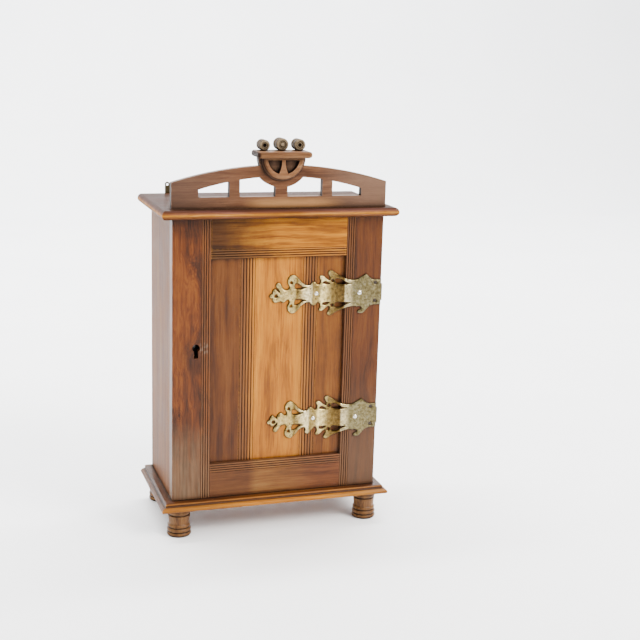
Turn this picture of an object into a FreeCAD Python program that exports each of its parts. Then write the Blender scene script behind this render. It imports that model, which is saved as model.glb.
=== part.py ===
"""Small wall or table key cabinet: reeded frame-and-panel door on two strap hinges,
a cupboard lock, three rows of key hooks, moulded base and top boards, turned feet
and a pierced crest with a bracket shelf.

Frame: +Z up, +X to the right of someone facing the door, the door faces -Y.
The origin lies on the floor under the middle of the whole object.  Millimetres.
"""
import FreeCAD, Part

import math
import os
import re

from FreeCAD import Placement, Rotation, Vector

doc = FreeCAD.newDocument("KeyCabinet")
sheet = doc.addObject("Spreadsheet::Sheet", "Sizes")

# Driving dimensions: alias, value, meaning.
SIZES = [
    ("body_width", 300.0, "width over the sides and over the door"),
    ("door_face", -76.5, "Y of the front face of the door"),
    ("body_back", 76.5, "Y of the back of the carcass"),
    ("door_thick", 18.0, "thickness of the door frame"),
    ("door_gap", 0.4, "gap between the door and the carcass"),
    ("edge_gap", 0.6, "gap above and below the door"),
    ("foot_height", 40.5, "floor to underside of the base board"),
    ("base_thick", 11.5, "thickness of the base board"),
    ("body_height", 398.0, "base board to top board"),
    ("top_thick", 12.4, "thickness of the top board"),
    ("overhang_side", 17.0, "both boards past the sides"),
    ("overhang_front", 17.5, "both boards past the door"),
    ("overhang_base_back", 2.0, "base board past the back"),
    ("overhang_top_back", 18.0, "top board past the back"),
    ("side_thick", 13.0, "thickness of the side boards"),
    ("back_thick", 6.0, "thickness of the back panel"),
    ("rebate", 5.0, "depth of the rebates that hold the back panel"),
    ("stile_width", 53.5, "width of the door stiles"),
    ("top_rail_height", 55.4, "height of the upper door rail"),
    ("bottom_rail_height", 49.4, "height of the lower door rail"),
    ("panel_recess", 6.0, "door face to panel face"),
    ("panel_thick", 6.0, "thickness of the door panel and of the tenons"),
    ("groove_depth", 5.0, "panel groove in stiles and rails"),
    ("tenon_length", 20.0, "length of the rail tenons"),
    ("tenon_shoulder", 9.0, "shoulder at the outer edge of each tenon"),
    ("fit_gap", 0.2, "play of the panel in its grooves"),
    ("reed_depth", 1.1, "depth of the valleys between reeds"),
    ("foot_inset_side", 11.2, "foot axis inward from the side face"),
    ("foot_inset_front", 6.0, "foot axis behind the door face"),
    ("foot_inset_back", 8.0, "foot axis in front of the back face"),
    ("foot_radius", 17.1, "largest radius of the turned feet"),
    ("spigot_radius", 5.0, "radius of the spigot that holds each foot"),
    ("spigot_length", 8.0, "length of that spigot"),
    ("crest_thick", 10.0, "thickness of the crest board"),
    ("crest_width", 303.0, "width of the crest board"),
    ("crest_end", 35.6, "height of the crest board at its ends"),
    ("crest_arc", 519.5, "radius of the upper edge of the crest board"),
    ("collar_height", 67.6, "centre of the round collar above the top board"),
    ("collar_radius", 39.8, "radius of the round collar"),
    ("boss_radius", 31.6, "radius of the half-round boss where it meets the crest"),
    ("head_radius", 33.2, "radius of the round head of the crest behind the boss"),
    ("boss_thick", 8.6, "how far the boss stands out of the crest"),
    ("shelf_lift", 68.8, "underside of the little shelf above the top board"),
    ("shelf_thick", 8.4, "thickness of the little shelf"),
    ("shelf_width", 76.0, "width of the little shelf"),
    ("shelf_depth", 38.0, "depth of the little shelf"),
    ("roller_pitch", 24.6, "spacing of the turned rollers"),
    ("roller_length", 18.5, "length of the turned rollers"),
    ("hinge_upper", 340.5, "height of the upper strap's centre line"),
    ("hinge_lower", 157.5, "height of the lower strap's centre line"),
    ("strap_thick", 2.0, "thickness of the hinge straps"),
    ("knuckle_radius", 2.6, "outer radius of the hinge knuckles"),
    ("pin_radius", 1.3, "radius of the hinge pins"),
    ("knuckle_out", 2.9, "hinge axis out from the side face"),
    ("barrel_length", 24.0, "length of each hinge barrel"),
    ("key_x", -116.8, "X of the keyhole and of the lock"),
    ("key_z", 271.0, "height of the keyhole's round end"),
    ("keyhole_radius", 5.5, "radius of the keyhole's round end"),
    ("slot_width", 6.2, "width of the keyhole's slot"),
    ("rail_thick", 10.0, "thickness of the key rails"),
    ("rail_height", 18.0, "height of the key rails"),
    ("rail_length", 262.0, "length of the key rails"),
    ("rail_pitch", 118.0, "spacing of the key rails"),
    ("rail_lowest", 148.0, "height of the centre of the lowest key rail"),
    ("hook_pitch", 41.0, "spacing of the key hooks"),
    ("hook_wire", 1.2, "wire radius of the key hooks"),
]
for row, (alias, value, meaning) in enumerate(SIZES, start=1):
    sheet.set(f"A{row}", alias)
    sheet.set(f"B{row}", str(value))
    sheet.set(f"C{row}", meaning)
    sheet.setAlias(f"B{row}", alias)
doc.recompute()


def size(alias):
    """Value of one cell of the sheet."""
    return float(sheet.get(alias))


def cells(formula):
    """Turn bare alias names in a formula into references to the sheet."""
    return re.sub(r"[a-z][a-z_]+", lambda word: "Sizes." + word.group(), formula)


def bind(item, prop, formula):
    """Bind one property to a formula over the sheet."""
    item.setExpression(prop, cells(formula))


def place(item, x="0", y="0", z="0"):
    """Bind the position of an object."""
    for axis, formula in zip("xyz", (x, y, z)):
        bind(item, f"Placement.Base.{axis}", formula)
    return item


# ---------------------------------------------------------------- plain makers
def box(name, low, span):
    """Block from its lowest corner and its three spans, all formulas."""
    block = doc.addObject("Part::Box", name)
    for prop, formula in zip(("Length", "Width", "Height"), span):
        bind(block, prop, formula)
    return place(block, *low)


def cylinder(name, radius, length, at, axis=Vector(0, 0, 1)):
    """Cylinder along an axis from the point `at`; all sizes are formulas."""
    rod = doc.addObject("Part::Cylinder", name)
    rod.Placement = Placement(Vector(), Rotation(Vector(0, 0, 1), axis))
    bind(rod, "Radius", radius)
    bind(rod, "Height", length)
    return place(rod, *at)


def join(name, pieces):
    """Union of several objects."""
    union = doc.addObject("Part::MultiFuse", name)
    union.Shapes = pieces
    union.Refine = True
    return union


def cut(name, base, tools):
    """One object less several others."""
    result = doc.addObject("Part::Cut", name)
    result.Base = base
    result.Tool = tools[0] if len(tools) == 1 else join(name + "_tools", tools)
    result.Refine = True
    return result


def common(name, one, other):
    """What two objects share."""
    result = doc.addObject("Part::Common", name)
    result.Base = one
    result.Tool = other
    return result


def solid(name, shape):
    """Feature that holds a ready-made shape."""
    item = doc.addObject("Part::Feature", name)
    item.Shape = shape
    return item


def edges_of(path):
    """Lines and arcs of a closed path: points, or (middle, end) pairs for arcs."""
    edges = []
    here = Vector(*path[0], 0)
    for step in list(path[1:]) + [path[0]]:
        if isinstance(step[0], tuple):
            middle, end = (Vector(*point, 0) for point in step)
            edges.append(Part.Arc(here, middle, end))
        else:
            end = Vector(*step, 0)
            if end.isEqual(here, 1e-7):
                continue
            edges.append(Part.LineSegment(here, end))
        here = end
    return edges


def outline(name, plane, paths):
    """Body with one sketch of closed paths on one of its origin planes."""
    body = doc.addObject("PartDesign::Body", name)
    origin_plane = next(item for item in body.Origin.OriginFeatures if item.Role == plane)
    sketch = body.newObject("Sketcher::SketchObject", name + "_sketch")
    sketch.AttachmentSupport = [(origin_plane, "")]
    sketch.MapMode = "FlatFace"
    for path in paths:
        for edge in edges_of(path):
            sketch.addGeometry(edge, False)
    return body, sketch


def pad(name, plane, paths, length, at=("0", "0", "0")):
    """Sketch of closed paths padded by a formula; XY pads up, XZ to the front, YZ to the right."""
    body, sketch = outline(name, plane, paths)
    feature = body.newObject("PartDesign::Pad", name + "_pad")
    feature.Profile = sketch
    bind(feature, "Length", length)
    body.Tip = feature
    return place(body, *at)


def turned(name, path, at, axis=Vector(0, 0, 1)):
    """Turned piece: a path of (radius, height) points spun about its own axis."""
    body, sketch = outline(name, "XZ_Plane", [path])
    feature = body.newObject("PartDesign::Revolution", name + "_turning")
    feature.Profile = sketch
    feature.ReferenceAxis = (sketch, ["V_Axis"])
    feature.Angle = 360.0
    body.Tip = feature
    body.Placement = Placement(Vector(), Rotation(Vector(0, 0, 1), axis))
    return place(body, *at)


def reeds(start, pitch, count, face, valley):
    """Steps of a reeded strip: arcs that crown at `face` and meet at `valley`."""
    steps = [(start, valley)]
    for index in range(count):
        left = start + index * pitch
        steps.append(((left + pitch / 2, face), (left + pitch, valley)))
    return steps


def reverse(steps):
    """Open path traced from its other end."""
    ends = [step[1] if isinstance(step[0], tuple) else step for step in steps]
    traced = [ends[-1]]
    for step, end in zip(reversed(steps[1:]), reversed(ends[:-1])):
        traced.append((step[0], end) if isinstance(step[0], tuple) else end)
    return traced


def mapped(steps, rule):
    """Path with a rule applied to each of its points."""
    return [tuple(rule(*point) for point in step) if isinstance(step[0], tuple) else rule(*step)
            for step in steps]


# ---------------------------------------------------------------- common levels
BASE_TOP = "foot_height + base_thick"
TOP_UNDER = "foot_height + base_thick + body_height"
TOP_FACE = "foot_height + base_thick + body_height + top_thick"
CARCASS_FRONT = "door_face + door_thick + door_gap"
CREST_FRONT = "door_face - 0.5"

half_width = size("body_width") / 2
door_face = size("door_face")
door_back = door_face + size("door_thick")
body_back = size("body_back")
base_top = size("foot_height") + size("base_thick")
top_under = base_top + size("body_height")
top_face = top_under + size("top_thick")
door_low = base_top + size("edge_gap")
door_high = top_under - size("edge_gap")
opening_half = half_width - size("stile_width")
panel_front = door_face + size("panel_recess")
panel_back = panel_front + size("panel_thick")
handles = {"left": -1, "right": 1}
hinges = {"upper": "hinge_upper", "lower": "hinge_lower"}


# ---------------------------------------------------------------- fasteners
def rod(radius, start, end):
    """Plain round bar between two points."""
    return Part.makeCylinder(radius, (end - start).Length, start, end - start)


def screw(head_radius, head_height, shank_radius, length, seat, inward):
    """Flat-headed screw: `seat` is the centre of the head's outer face."""
    neck = seat + inward * head_height
    head = Part.makeCone(head_radius, shank_radius, head_height, seat, inward)
    slot_half = 0.35
    across = Vector(0, 0, 1) if abs(inward.z) < 0.5 else Vector(1, 0, 0)
    along = inward.cross(across)
    corner = seat - along * head_radius - across * slot_half
    face = Part.makePolygon([corner, corner + along * 2 * head_radius,
                             corner + along * 2 * head_radius + across * 2 * slot_half,
                             corner + across * 2 * slot_half, corner])
    slot = Part.Face(face).extrude(inward * head_height * 0.5)
    shank = rod(shank_radius, neck, neck + inward * (length - head_height))
    return head.fuse(shank).removeSplitter().cut(slot)


def screw_seat(head_radius, head_height, shank_radius, length, seat, inward):
    """The hole that a screw of the same sizes fills."""
    neck = seat + inward * head_height
    head = Part.makeCone(head_radius, shank_radius, head_height, seat, inward)
    return head.fuse(rod(shank_radius, neck, neck + inward * (length - head_height)))


def screws(name, sizes, seats, inward):
    """Node with one screw per seat; returns the shapes of their holes."""
    solid(name, Part.makeCompound([screw(*sizes, seat, inward) for seat in seats]))
    return [screw_seat(*sizes, seat, inward) for seat in seats]


def drilled(name, base, holes):
    """One object less a list of ready-made hole shapes."""
    tool = solid(name + "_holes", Part.makeCompound(holes))
    return cut(name, base, [tool])


# ---------------------------------------------------------------- carcass
def moulded_board(name, bottom, thick, back_overhang, edge):
    """Board with the same moulding on its front and both ends, mitred at the corners.

    `edge` runs from the underside to the top face as (inward, up) steps.
    """
    side = half_width + size("overhang_side")
    front = door_face - size("overhang_front")
    back = body_back + size(back_overhang)
    falling = reverse(edge)
    across = mapped(edge, lambda inward, up: (side - inward, up))
    across += mapped(falling, lambda inward, up: (inward - side, up))
    along = mapped(falling, lambda inward, up: (front + inward, up))
    along += [(back, 0), (back, size(thick))]
    ends = pad(name + "_ends", "XZ_Plane", [across],
               f"body_back + {back_overhang} + overhang_front - door_face",
               ("0", f"body_back + {back_overhang}", bottom))
    run = pad(name + "_run", "YZ_Plane", [along], "body_width + 2 * overhang_side",
              ("-body_width / 2 - overhang_side", "0", bottom))
    return common(name, ends, run)


BASE_EDGE = [(1.4, 0.0), ((0.0, 2.4), (0.9, 4.8)), (3.6, 6.6), ((5.6, 7.0), (6.3, 8.8)),
             (5.9, 9.3), ((6.5, 10.9), (8.3, 11.5))]
TOP_EDGE = [(7.0, 0.0), ((3.0, 1.0), (0.6, 3.6)), (0.0, 5.2), (0.3, 7.2),
            ((1.8, 10.6), (4.8, 12.4))]


def feet():
    """Four turned feet with a spigot that sits in the base board."""
    reach = size("foot_radius")
    height = size("foot_height")
    spigot = size("spigot_radius")
    path = [(0, 0), (reach - 1.6, 0), ((reach, 2.7), (reach - 0.8, 5.6)), (reach - 2.1, 6.5),
            ((reach - 0.2, 9.2), (reach - 1.4, 12.0)), (reach - 2.5, 12.9),
            ((reach - 0.9, 15.2), (reach - 1.9, 17.6)), (reach - 2.5, 18.4),
            ((reach - 2.2, 24.0), (reach - 1.4, 30.0)), (reach - 2.7, 31.0), (reach - 2.5, 32.2),
            ((reach - 0.7, 34.0), (reach - 0.4, 36.4)), (reach - 0.6, height), (spigot, height),
            (spigot, height + size("spigot_length")), (0, height + size("spigot_length"))]
    depths = {"front": "door_face + foot_inset_front", "back": "body_back - foot_inset_back"}
    for depth, y in depths.items():
        for side, sign in handles.items():
            x = f"{sign} * (body_width / 2 - foot_inset_side)"
            turned(f"foot_{depth}_{side}", path, (x, y, "0"))


def foot_sockets():
    """Cutters for the four spigots."""
    sockets = []
    for depth, y in (("front", "door_face + foot_inset_front"),
                     ("back", "body_back - foot_inset_back")):
        for side, sign in handles.items():
            x = f"{sign} * (body_width / 2 - foot_inset_side)"
            sockets.append(cylinder(f"socket_{depth}_{side}", "spigot_radius",
                                    "spigot_length", (x, y, "foot_height")))
    return sockets


def carcass_fasteners(holes):
    """Screws, dowels and pins that hold the boards together; their holes go to each host."""
    side_x = half_width - size("side_thick") / 2
    spots = [(sign * side_x, y) for sign in (-1, 1) for y in (-35.0, 45.0)]
    up = Vector(0, 0, 1)
    foot_level = size("foot_height")
    seats = [Vector(x, y, foot_level) for x, y in spots]
    through = screws("carcass_screws", (3.4, 2.0, 1.7, 30), seats, up)
    dowels = [rod(3.0, Vector(x, y, top_under - 12), Vector(x, y, top_under + 8))
              for x, y in spots]
    solid("carcass_dowels", Part.makeCompound(dowels))
    crest_y = door_face - 0.5 + size("crest_thick") / 2
    seats = [Vector(x, crest_y, top_under) for x in (-110.0, 0.0, 110.0)]
    crest = screws("crest_screws", (3.0, 1.6, 1.5, 25), seats, up)
    edge_x = half_width - size("side_thick") + size("rebate") / 2
    seats = [Vector(sign * edge_x, body_back, z) for sign in (-1, 1)
             for z in (90.0, 200.0, 310.0, 420.0)]
    pins = screws("back_pins", (1.7, 0.7, 0.7, 16), seats, Vector(0, -1, 0))
    holes["base_board"] += through
    holes["top_board"] += dowels + crest
    holes["crest_board"] += crest
    holes["back_panel"] += pins
    for side in handles:
        holes[side + "_side"] += through + dowels + pins


def carcass(holes):
    """Base and top boards, two sides and the back panel."""
    base = moulded_board("base_blank", "foot_height", "base_thick", "overhang_base_back",
                         BASE_EDGE)
    sockets = foot_sockets()
    sockets.append(solid("base_board_holes", Part.makeCompound(holes["base_board"])))
    cut("base_board", base, sockets)
    top = moulded_board("top_blank", TOP_UNDER, "top_thick", "overhang_top_back", TOP_EDGE)
    drilled("top_board", top, holes["top_board"])
    depth = f"body_back - ({CARCASS_FRONT})"
    for side, sign in handles.items():
        x = "-body_width / 2" if sign < 0 else "body_width / 2 - side_thick"
        blank = box(f"{side}_side_blank", (x, CARCASS_FRONT, BASE_TOP),
                    ("side_thick", depth, "body_height"))
        x = ("-body_width / 2 + side_thick - rebate" if sign < 0
             else "body_width / 2 - side_thick")
        rebate = box(f"{side}_rebate", (x, "body_back - back_thick", BASE_TOP),
                     ("rebate", "back_thick", "body_height"))
        bores = solid(f"{side}_side_holes", Part.makeCompound(holes[side + "_side"]))
        cut(f"{side}_side", blank, [rebate, bores])
    panel = box("back_blank", ("-body_width / 2 + side_thick - rebate",
                               "body_back - back_thick", BASE_TOP),
                ("body_width - 2 * (side_thick - rebate)", "back_thick", "body_height"))
    drilled("back_panel", panel, holes["back_panel"])


# ---------------------------------------------------------------- crest
def crest_board(holes):
    """Arched board with four windows, two each side of a round collar."""
    half = size("crest_width") / 2
    end = top_face + size("crest_end")
    radius = size("crest_arc")
    centre = end - math.sqrt(radius ** 2 - half ** 2)
    collar = top_face + size("collar_height")
    ring = size("collar_radius")
    shelf = top_face + size("shelf_lift")
    head = size("head_radius")
    root = (radius ** 2 - head ** 2 + shelf ** 2 - centre ** 2) / (2 * (shelf - centre))
    meeting = math.sqrt(head ** 2 - (root - shelf) ** 2)
    turn = math.asin((shelf - root) / head) / 2
    shoulder = (head * math.cos(turn), shelf - head * math.sin(turn))

    def arch(x):
        return centre + math.sqrt(radius ** 2 - x ** 2)

    def soffit(x):
        soffit_radius = 400.0
        return top_face + 42.9 - soffit_radius + math.sqrt(soffit_radius ** 2 - x ** 2)

    sill = top_face + 15.6
    board = [(-half, top_face), (half, top_face), (half, end),
             ((0.6 * half, arch(0.6 * half)), (meeting, root)), (shoulder, (head, shelf)),
             (-head, shelf), ((-shoulder[0], shoulder[1]), (-meeting, root)),
             ((-0.6 * half, arch(0.6 * half)), (-half, end))]
    stem = 8.6
    inner = 58.3
    meet = 30.6
    windows = []
    for sign in (-1, 1):
        windows.append([(sign * 72.6, sill), (sign * 115.0, sill), (sign * 115.0, soffit(115.0)),
                        ((sign * 94.0, soffit(94.0)), (sign * 72.6, soffit(72.6)))])
        low = collar - math.sqrt(ring ** 2 - stem ** 2)
        high = collar - math.sqrt(ring ** 2 - meet ** 2)
        halfway = 21.0
        windows.append([(sign * stem, sill), (sign * inner, sill), (sign * inner, soffit(inner)),
                        ((sign * 45.0, soffit(45.0)), (sign * meet, soffit(meet))),
                        (sign * meet, high),
                        ((sign * halfway, collar - math.sqrt(ring ** 2 - halfway ** 2)),
                         (sign * stem, low))])
    blank = pad("crest_blank", "XZ_Plane", [board] + windows, "crest_thick",
                ("0", f"{CREST_FRONT} + crest_thick", "0"))
    drilled("crest_board", blank, holes)


def crest_boss():
    """Half-round boss with a stepped rim, two sunk windows and a flared post between them."""
    radius = size("boss_radius")
    thick = size("boss_thick")
    step = [(0, 0), (radius, 0), (radius - 0.3, 1.7), ((radius - 1.1, 3.3), (radius - 2.4, 4.1)),
            (radius - 2.4, 4.9), ((radius - 2.9, 6.4), (radius - 4.6, thick - 0.7)),
            (radius - 5.6, thick), (0, thick)]
    block = turned("boss_turning", step,
                   ("0", CREST_FRONT, f"{TOP_FACE} + shelf_lift"), Vector(0, -1, 0))
    shelf = top_face + size("shelf_lift")
    lower = box("boss_lower_half", ("-boss_radius", f"{CREST_FRONT} - boss_thick",
                                    f"{TOP_FACE} + shelf_lift - boss_radius"),
                ("2 * boss_radius", "boss_thick", "boss_radius"))
    half = common("boss_half", block, lower)
    inner = radius - 9.1
    top = shelf - 3.2
    stem_top, stem_foot = 2.4, 6.4
    stem_low = shelf - math.sqrt(inner ** 2 - stem_foot ** 2)
    wide = math.sqrt(inner ** 2 - 3.2 ** 2)
    bend = math.radians(40)
    pockets = []
    for side, sign in handles.items():
        path = [(sign * stem_top, top),
                ((sign * (stem_top + 0.7), shelf - 12.5), (sign * stem_foot, stem_low)),
                ((sign * inner * math.cos(bend), shelf - inner * math.sin(bend)),
                 (sign * wide, top))]
        pockets.append(pad(f"boss_pocket_{side}", "XZ_Plane", [path], "6",
                           ("0", f"{CREST_FRONT} - boss_thick + 6", "0")))
    cut("crest_boss", half, pockets)


def crest_shelf(pins):
    """Small bracket shelf with clipped, bullnosed front corners."""
    half = size("shelf_width") / 2
    front = door_face - 20.0
    back = front + size("shelf_depth")
    clip = 7.0
    plan = [(-half, back), (-half, front + clip), ((-half + 1.6, front + 2.2),
                                                   (-half + clip, front)),
            (half - clip, front), ((half - 1.6, front + 2.2), (half, front + clip)),
            (half, back)]
    slab = pad("shelf_slab", "XY_Plane", [plan], "shelf_thick",
               ("0", "0", f"{TOP_FACE} + shelf_lift"))
    doc.recompute()
    rounded = doc.addObject("Part::Fillet", "shelf_rounded")
    rounded.Base = slab
    nose = 3.4
    edges = []
    for index, edge in enumerate(slab.Shape.Edges, start=1):
        middle = edge.valueAt((edge.FirstParameter + edge.LastParameter) / 2)
        level = abs(edge.Vertexes[0].Z - edge.Vertexes[-1].Z) < 1e-6
        if level and middle.y < back - 1:
            edges.append((index, nose, nose))
    rounded.Edges = edges
    drilled("crest_shelf", rounded, pins)


def roller_pins():
    """Three short pins that hold the rollers on the shelf."""
    shelf_top = top_face + size("shelf_lift") + size("shelf_thick")
    feet_of_pins = [Vector(step * size("roller_pitch"), door_face + 9.7, shelf_top - 5.0)
                    for step in (-1, 0, 1)]
    pins = [rod(0.8, foot, foot + Vector(0, 0, 9)) for foot in feet_of_pins]
    solid("roller_pins", Part.makeCompound(pins))
    return pins


def crest_rollers(pins):
    """Three turned rollers that lie on the shelf; the middle one is larger and has a nub."""
    length = size("roller_length")
    bore = 2.6
    for index, (name, radius) in enumerate((("left", 7.4), ("middle", 8.5), ("right", 7.9))):
        path = [(0, 0), (radius - 1.0, 0), ((radius - 0.3, 0.3), (radius, 1.0)), (radius, 5.7),
                ((radius - 0.4, 6.5), (radius - 1.5, 6.8)), (radius - 1.5, 8.8),
                ((radius - 0.4, 9.1), (radius, 9.9)), (radius, length - 1.4),
                ((radius - 0.5, length - 0.4), (radius - 1.6, length)), (radius - 3.0, length),
                (radius - 3.5, length - 1.0), (bore, length - 1.0)]
        if name == "middle":
            path += [(bore, length - 0.2), (bore - 0.9, length + 0.5), (0, length + 0.5)]
        else:
            path += [(bore - 0.9, length - 4.0), (0, length - 4.0)]
        level = f"{TOP_FACE} + shelf_lift + shelf_thick + {radius}"
        blank = turned(f"roller_blank_{name}", path,
                       (f"{index - 1} * roller_pitch", "door_face + 17.5", level),
                       Vector(0, -1, 0))
        drilled(f"crest_roller_{name}", blank, pins)


# ---------------------------------------------------------------- straps
def curve(points):
    """Corner points of a line through two points or of a smooth curve through more."""
    points = [Vector(x, 0, z) for x, z in points]
    if len(points) == 2:
        return points
    spline = Part.BSplineCurve()
    spline.interpolate(points)
    return spline.discretize(Number=4 * len(points))


def closed_face(runs):
    """Face bounded by runs of points; each run starts where the last one ended."""
    corners = []
    here = runs[-1][-1]
    for run in runs:
        points = run if run[0] == here else [here] + run
        corners += curve(points)[1:]
        here = points[-1]
    return Part.Face(Part.makePolygon(corners + corners[:1]))


# Upper edge of a strap from tip to hinge end, as (X, height above the centre line).
# Each run is one smooth curve; runs meet in the corners of the casting.
TIP_LOBE = [(-13.1, -1.6), (-11.8, 1.0), (-8.8, 1.6)]
PETAL = [[(-8.6, 5.0), (-6.6, 8.2), (-4.2, 8.6)], [(-1.2, 5.8), (1.6, 3.4)]]
FINGER = [[(0.2, 6.8), (-3.0, 10.6), (-3.8, 14.0), (-1.4, 17.0), (2.4, 16.2), (5.8, 10.6),
           (9.0, 7.4), (12.0, 6.8)]]
UNDER_LOBE = [[(-13.1, -1.6), (-11.9, -4.2), (-8.8, -4.6)]]
BLUNT_PETAL = [[(-8.4, -7.4), (-6.4, -10.6), (-2.4, -11.2)], [(2.2, -10.2)]]
SHORT_FINGER = [[(3.2, 9.4), (7.0, 11.8), (9.6, 10.6), (12.0, 8.2)]]
SHAFT = [[(14.6, 7.8), (16.0, 10.2), (14.6, 13.4), (13.2, 18.0)],
         [(13.6, 22.2), (16.8, 26.2), (21.4, 27.6), (26.4, 25.2), (31.2, 20.2), (36.0, 15.2),
          (41.0, 12.8), (46.4, 12.8)],
         [(48.4, 15.8), (51.6, 17.2), (54.6, 15.8), (57.4, 13.2), (59.4, 13.4)],
         [(61.4, 16.4), (59.6, 21.8)],
         [(60.0, 24.8), (63.4, 25.4), (68.4, 22.4), (72.4, 19.4), (74.6, 18.8)],
         [(75.2, 21.8), (72.6, 26.8), (72.6, 31.2)],
         [(76.4, 32.6), (82.0, 29.6), (88.6, 25.2), (96.0, 21.6), (104.0, 19.6), (110.0, 19.2),
          (114.0, 20.2)]]
PEAK = [[(118.4, 22.6), (126.4, 27.0)], [(130.0, 24.2), (134.0, 20.8), (140.0, 18.6)],
        [(150.0, 18.4)]]
CLAW = [[(118.4, 19.8), (121.2, 21.6)],
        [(119.4, 24.0), (115.8, 25.6), (115.6, 28.4), (119.4, 30.0), (124.4, 29.0),
         (128.2, 25.0), (132.4, 20.8), (140.0, 18.2)], [(150.0, 18.0)]]
SPUR = [[(43.4, 13.6), (44.2, 17.0)], [(43.8, 20.6), (47.4, 22.8), (51.4, 20.6), (53.0, 17.0)]]

# Openings above the centre line; the same ones lie below it.
TEARDROP = [[(40.4, 9.8), (33.6, 10.8), (29.0, 14.2), (24.2, 14.8), (23.6, 11.2), (24.6, 8.0)],
            [(31.0, 7.8), (40.4, 9.8)]]
ARM_GAP = [[(75.0, 13.4), (70.8, 16.0), (66.8, 16.8), (64.6, 14.4)], [(70.0, 13.0), (75.0, 13.4)]]
HORN_GAP = [[(104.6, 14.2), (95.6, 16.6), (88.4, 20.0), (84.0, 20.4), (84.2, 13.8)],
            [(94.0, 13.2), (104.6, 14.2)]]
EYES = [(18.8, 16.6), (78.9, 17.6)]
EYE_RADIUS = 1.9
TIP_HOLE = (-3.4, -1.6)
RIVETS = [(55.4, 0.2), (117.4, 0.2)]
STRAP_SCREWS = [(141.0, 14.0), (141.0, -12.0)]


def flipped(runs):
    """Runs of points mirrored in the centre line."""
    return [[(x, -z) for x, z in run] for run in runs]


def reversed_runs(runs):
    """Runs traced the other way, each starting where the one before it ended."""
    chain = [runs[0][0]]
    joined = []
    for run in runs:
        points = run if run[0] == chain[-1] else [chain[-1]] + run
        joined.append(points)
        chain.append(points[-1])
    return [list(reversed(points)) for points in reversed(joined)]


def strap_face(finger_up):
    """Outline of a strap with its openings, drawn in the XZ plane about its centre line."""
    long_side, short_side = PETAL + FINGER, PETAL + SHORT_FINGER
    above = [TIP_LOBE] + (long_side if finger_up else short_side) + SHAFT + PEAK
    blunt = BLUNT_PETAL + flipped(SHORT_FINGER)
    tip = UNDER_LOBE + (blunt if finger_up else flipped(long_side))
    shaft = flipped(SHAFT)
    if not finger_up:
        shaft = shaft[:1] + [shaft[1][:-1] + [(42.6, -13.0)]] + flipped(SPUR) + [
            [(56.0, -15.0), (57.4, -13.2), (59.4, -13.4)]] + shaft[3:]
    below = reversed_runs(tip + shaft + flipped(CLAW))
    face = closed_face(above + [[above[-1][-1], below[0][0]]] + below)
    gaps = [closed_face(gap) for gap in (TEARDROP, ARM_GAP, HORN_GAP)]
    gaps += [closed_face(flipped(gap)) for gap in (TEARDROP, ARM_GAP, HORN_GAP)]
    rounds = [(x, sign * z, EYE_RADIUS) for x, z in EYES for sign in (1, -1)]
    rounds.append((*TIP_HOLE, 2.0))
    for x, z, radius in rounds:
        ring = Part.makeCircle(radius, Vector(x, 0, z), Vector(0, -1, 0))
        gaps.append(Part.Face(Part.Wire(ring)))
    return face.cut(Part.makeCompound(gaps))


def strap(where, level):
    """Strap that lies on stile and panel and wraps the door's edge to its knuckles."""
    thick = size("strap_thick")
    front = door_face - thick
    step_right = opening_half - 0.6
    step_left = step_right - 14.0
    fall = size("panel_recess")
    side = half_width + 1.6
    plate = strap_face(where == "upper")
    plate.translate(Vector(0, panel_front, level))
    plate = plate.extrude(Vector(0, front - panel_front, 0))
    band = [(-20, front + fall), (step_left, front + fall), (step_right, front), (side + 2, front),
            (side + 2, door_face), (step_right + 0.6, door_face),
            (step_right + 0.6, door_face + 1.0), (step_left + 1.0, panel_front),
            (-20, panel_front)]
    corners = [Vector(x, y, level - 40) for x, y in band + band[:1]]
    band = Part.Face(Part.makePolygon(corners)).extrude(Vector(0, 0, 80))
    shape = plate.common(band)
    reach = size("barrel_length") / 2
    flange_end = door_back - size("knuckle_radius") - 0.2
    shape = shape.fuse(Part.makeBox(1.6, flange_end - front, 2 * reach,
                                    Vector(half_width, front, level - reach)))
    for low, high in ((-reach, -reach + 6.0), (reach - 6.0, reach)):
        shape = shape.fuse(knuckle(level + low, level + high, -1))
    holes = [rod(size("pin_radius") + 0.05, hinge_point(level - 20), hinge_point(level + 20))]
    return shape.removeSplitter().cut(Part.makeCompound(holes))


def hinge_point(z):
    """Point on the hinge line."""
    return Vector(half_width + size("knuckle_out"), door_back, z)


def knuckle(low, high, toward):
    """Barrel section from `low` to `high` with its link toward the door (-1) or the side (1)."""
    radius = size("knuckle_radius")
    barrel = rod(radius, hinge_point(low), hinge_point(high))
    near = door_back if toward > 0 else door_back - radius - 0.4
    link = Part.makeBox(1.6, radius + 0.4, high - low, Vector(half_width + 0.3, near, low))
    return barrel.fuse(link)


def side_leaf(level):
    """Hinge leaf on the outside of the right side, with the middle knuckle."""
    reach = size("barrel_length") / 2
    front = door_back + size("knuckle_radius") + 0.4
    back = front + 21.0
    round_off = 6.0
    corners = [(front, -reach), (back - round_off, -reach), ((back, 0), (back - round_off, reach)),
               (front, reach)]
    edges = []
    here = Vector(half_width, front, level - reach)
    for corner in corners[1:] + corners[:1]:
        if isinstance(corner[0], tuple):
            middle, end = (Vector(half_width, y, level + z) for y, z in corner)
            edges.append(Part.Arc(here, middle, end).toShape())
        else:
            end = Vector(half_width, corner[0], level + corner[1])
            edges.append(Part.LineSegment(here, end).toShape())
        here = end
    plate = Part.Face(Part.Wire(edges)).extrude(Vector(1.6, 0, 0))
    middle = reach - 6.3
    shape = plate.fuse(knuckle(level - middle, level + middle, 1))
    bore = rod(size("pin_radius") + 0.05, hinge_point(level - 20), hinge_point(level + 20))
    return shape.removeSplitter().cut(bore)


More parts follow.
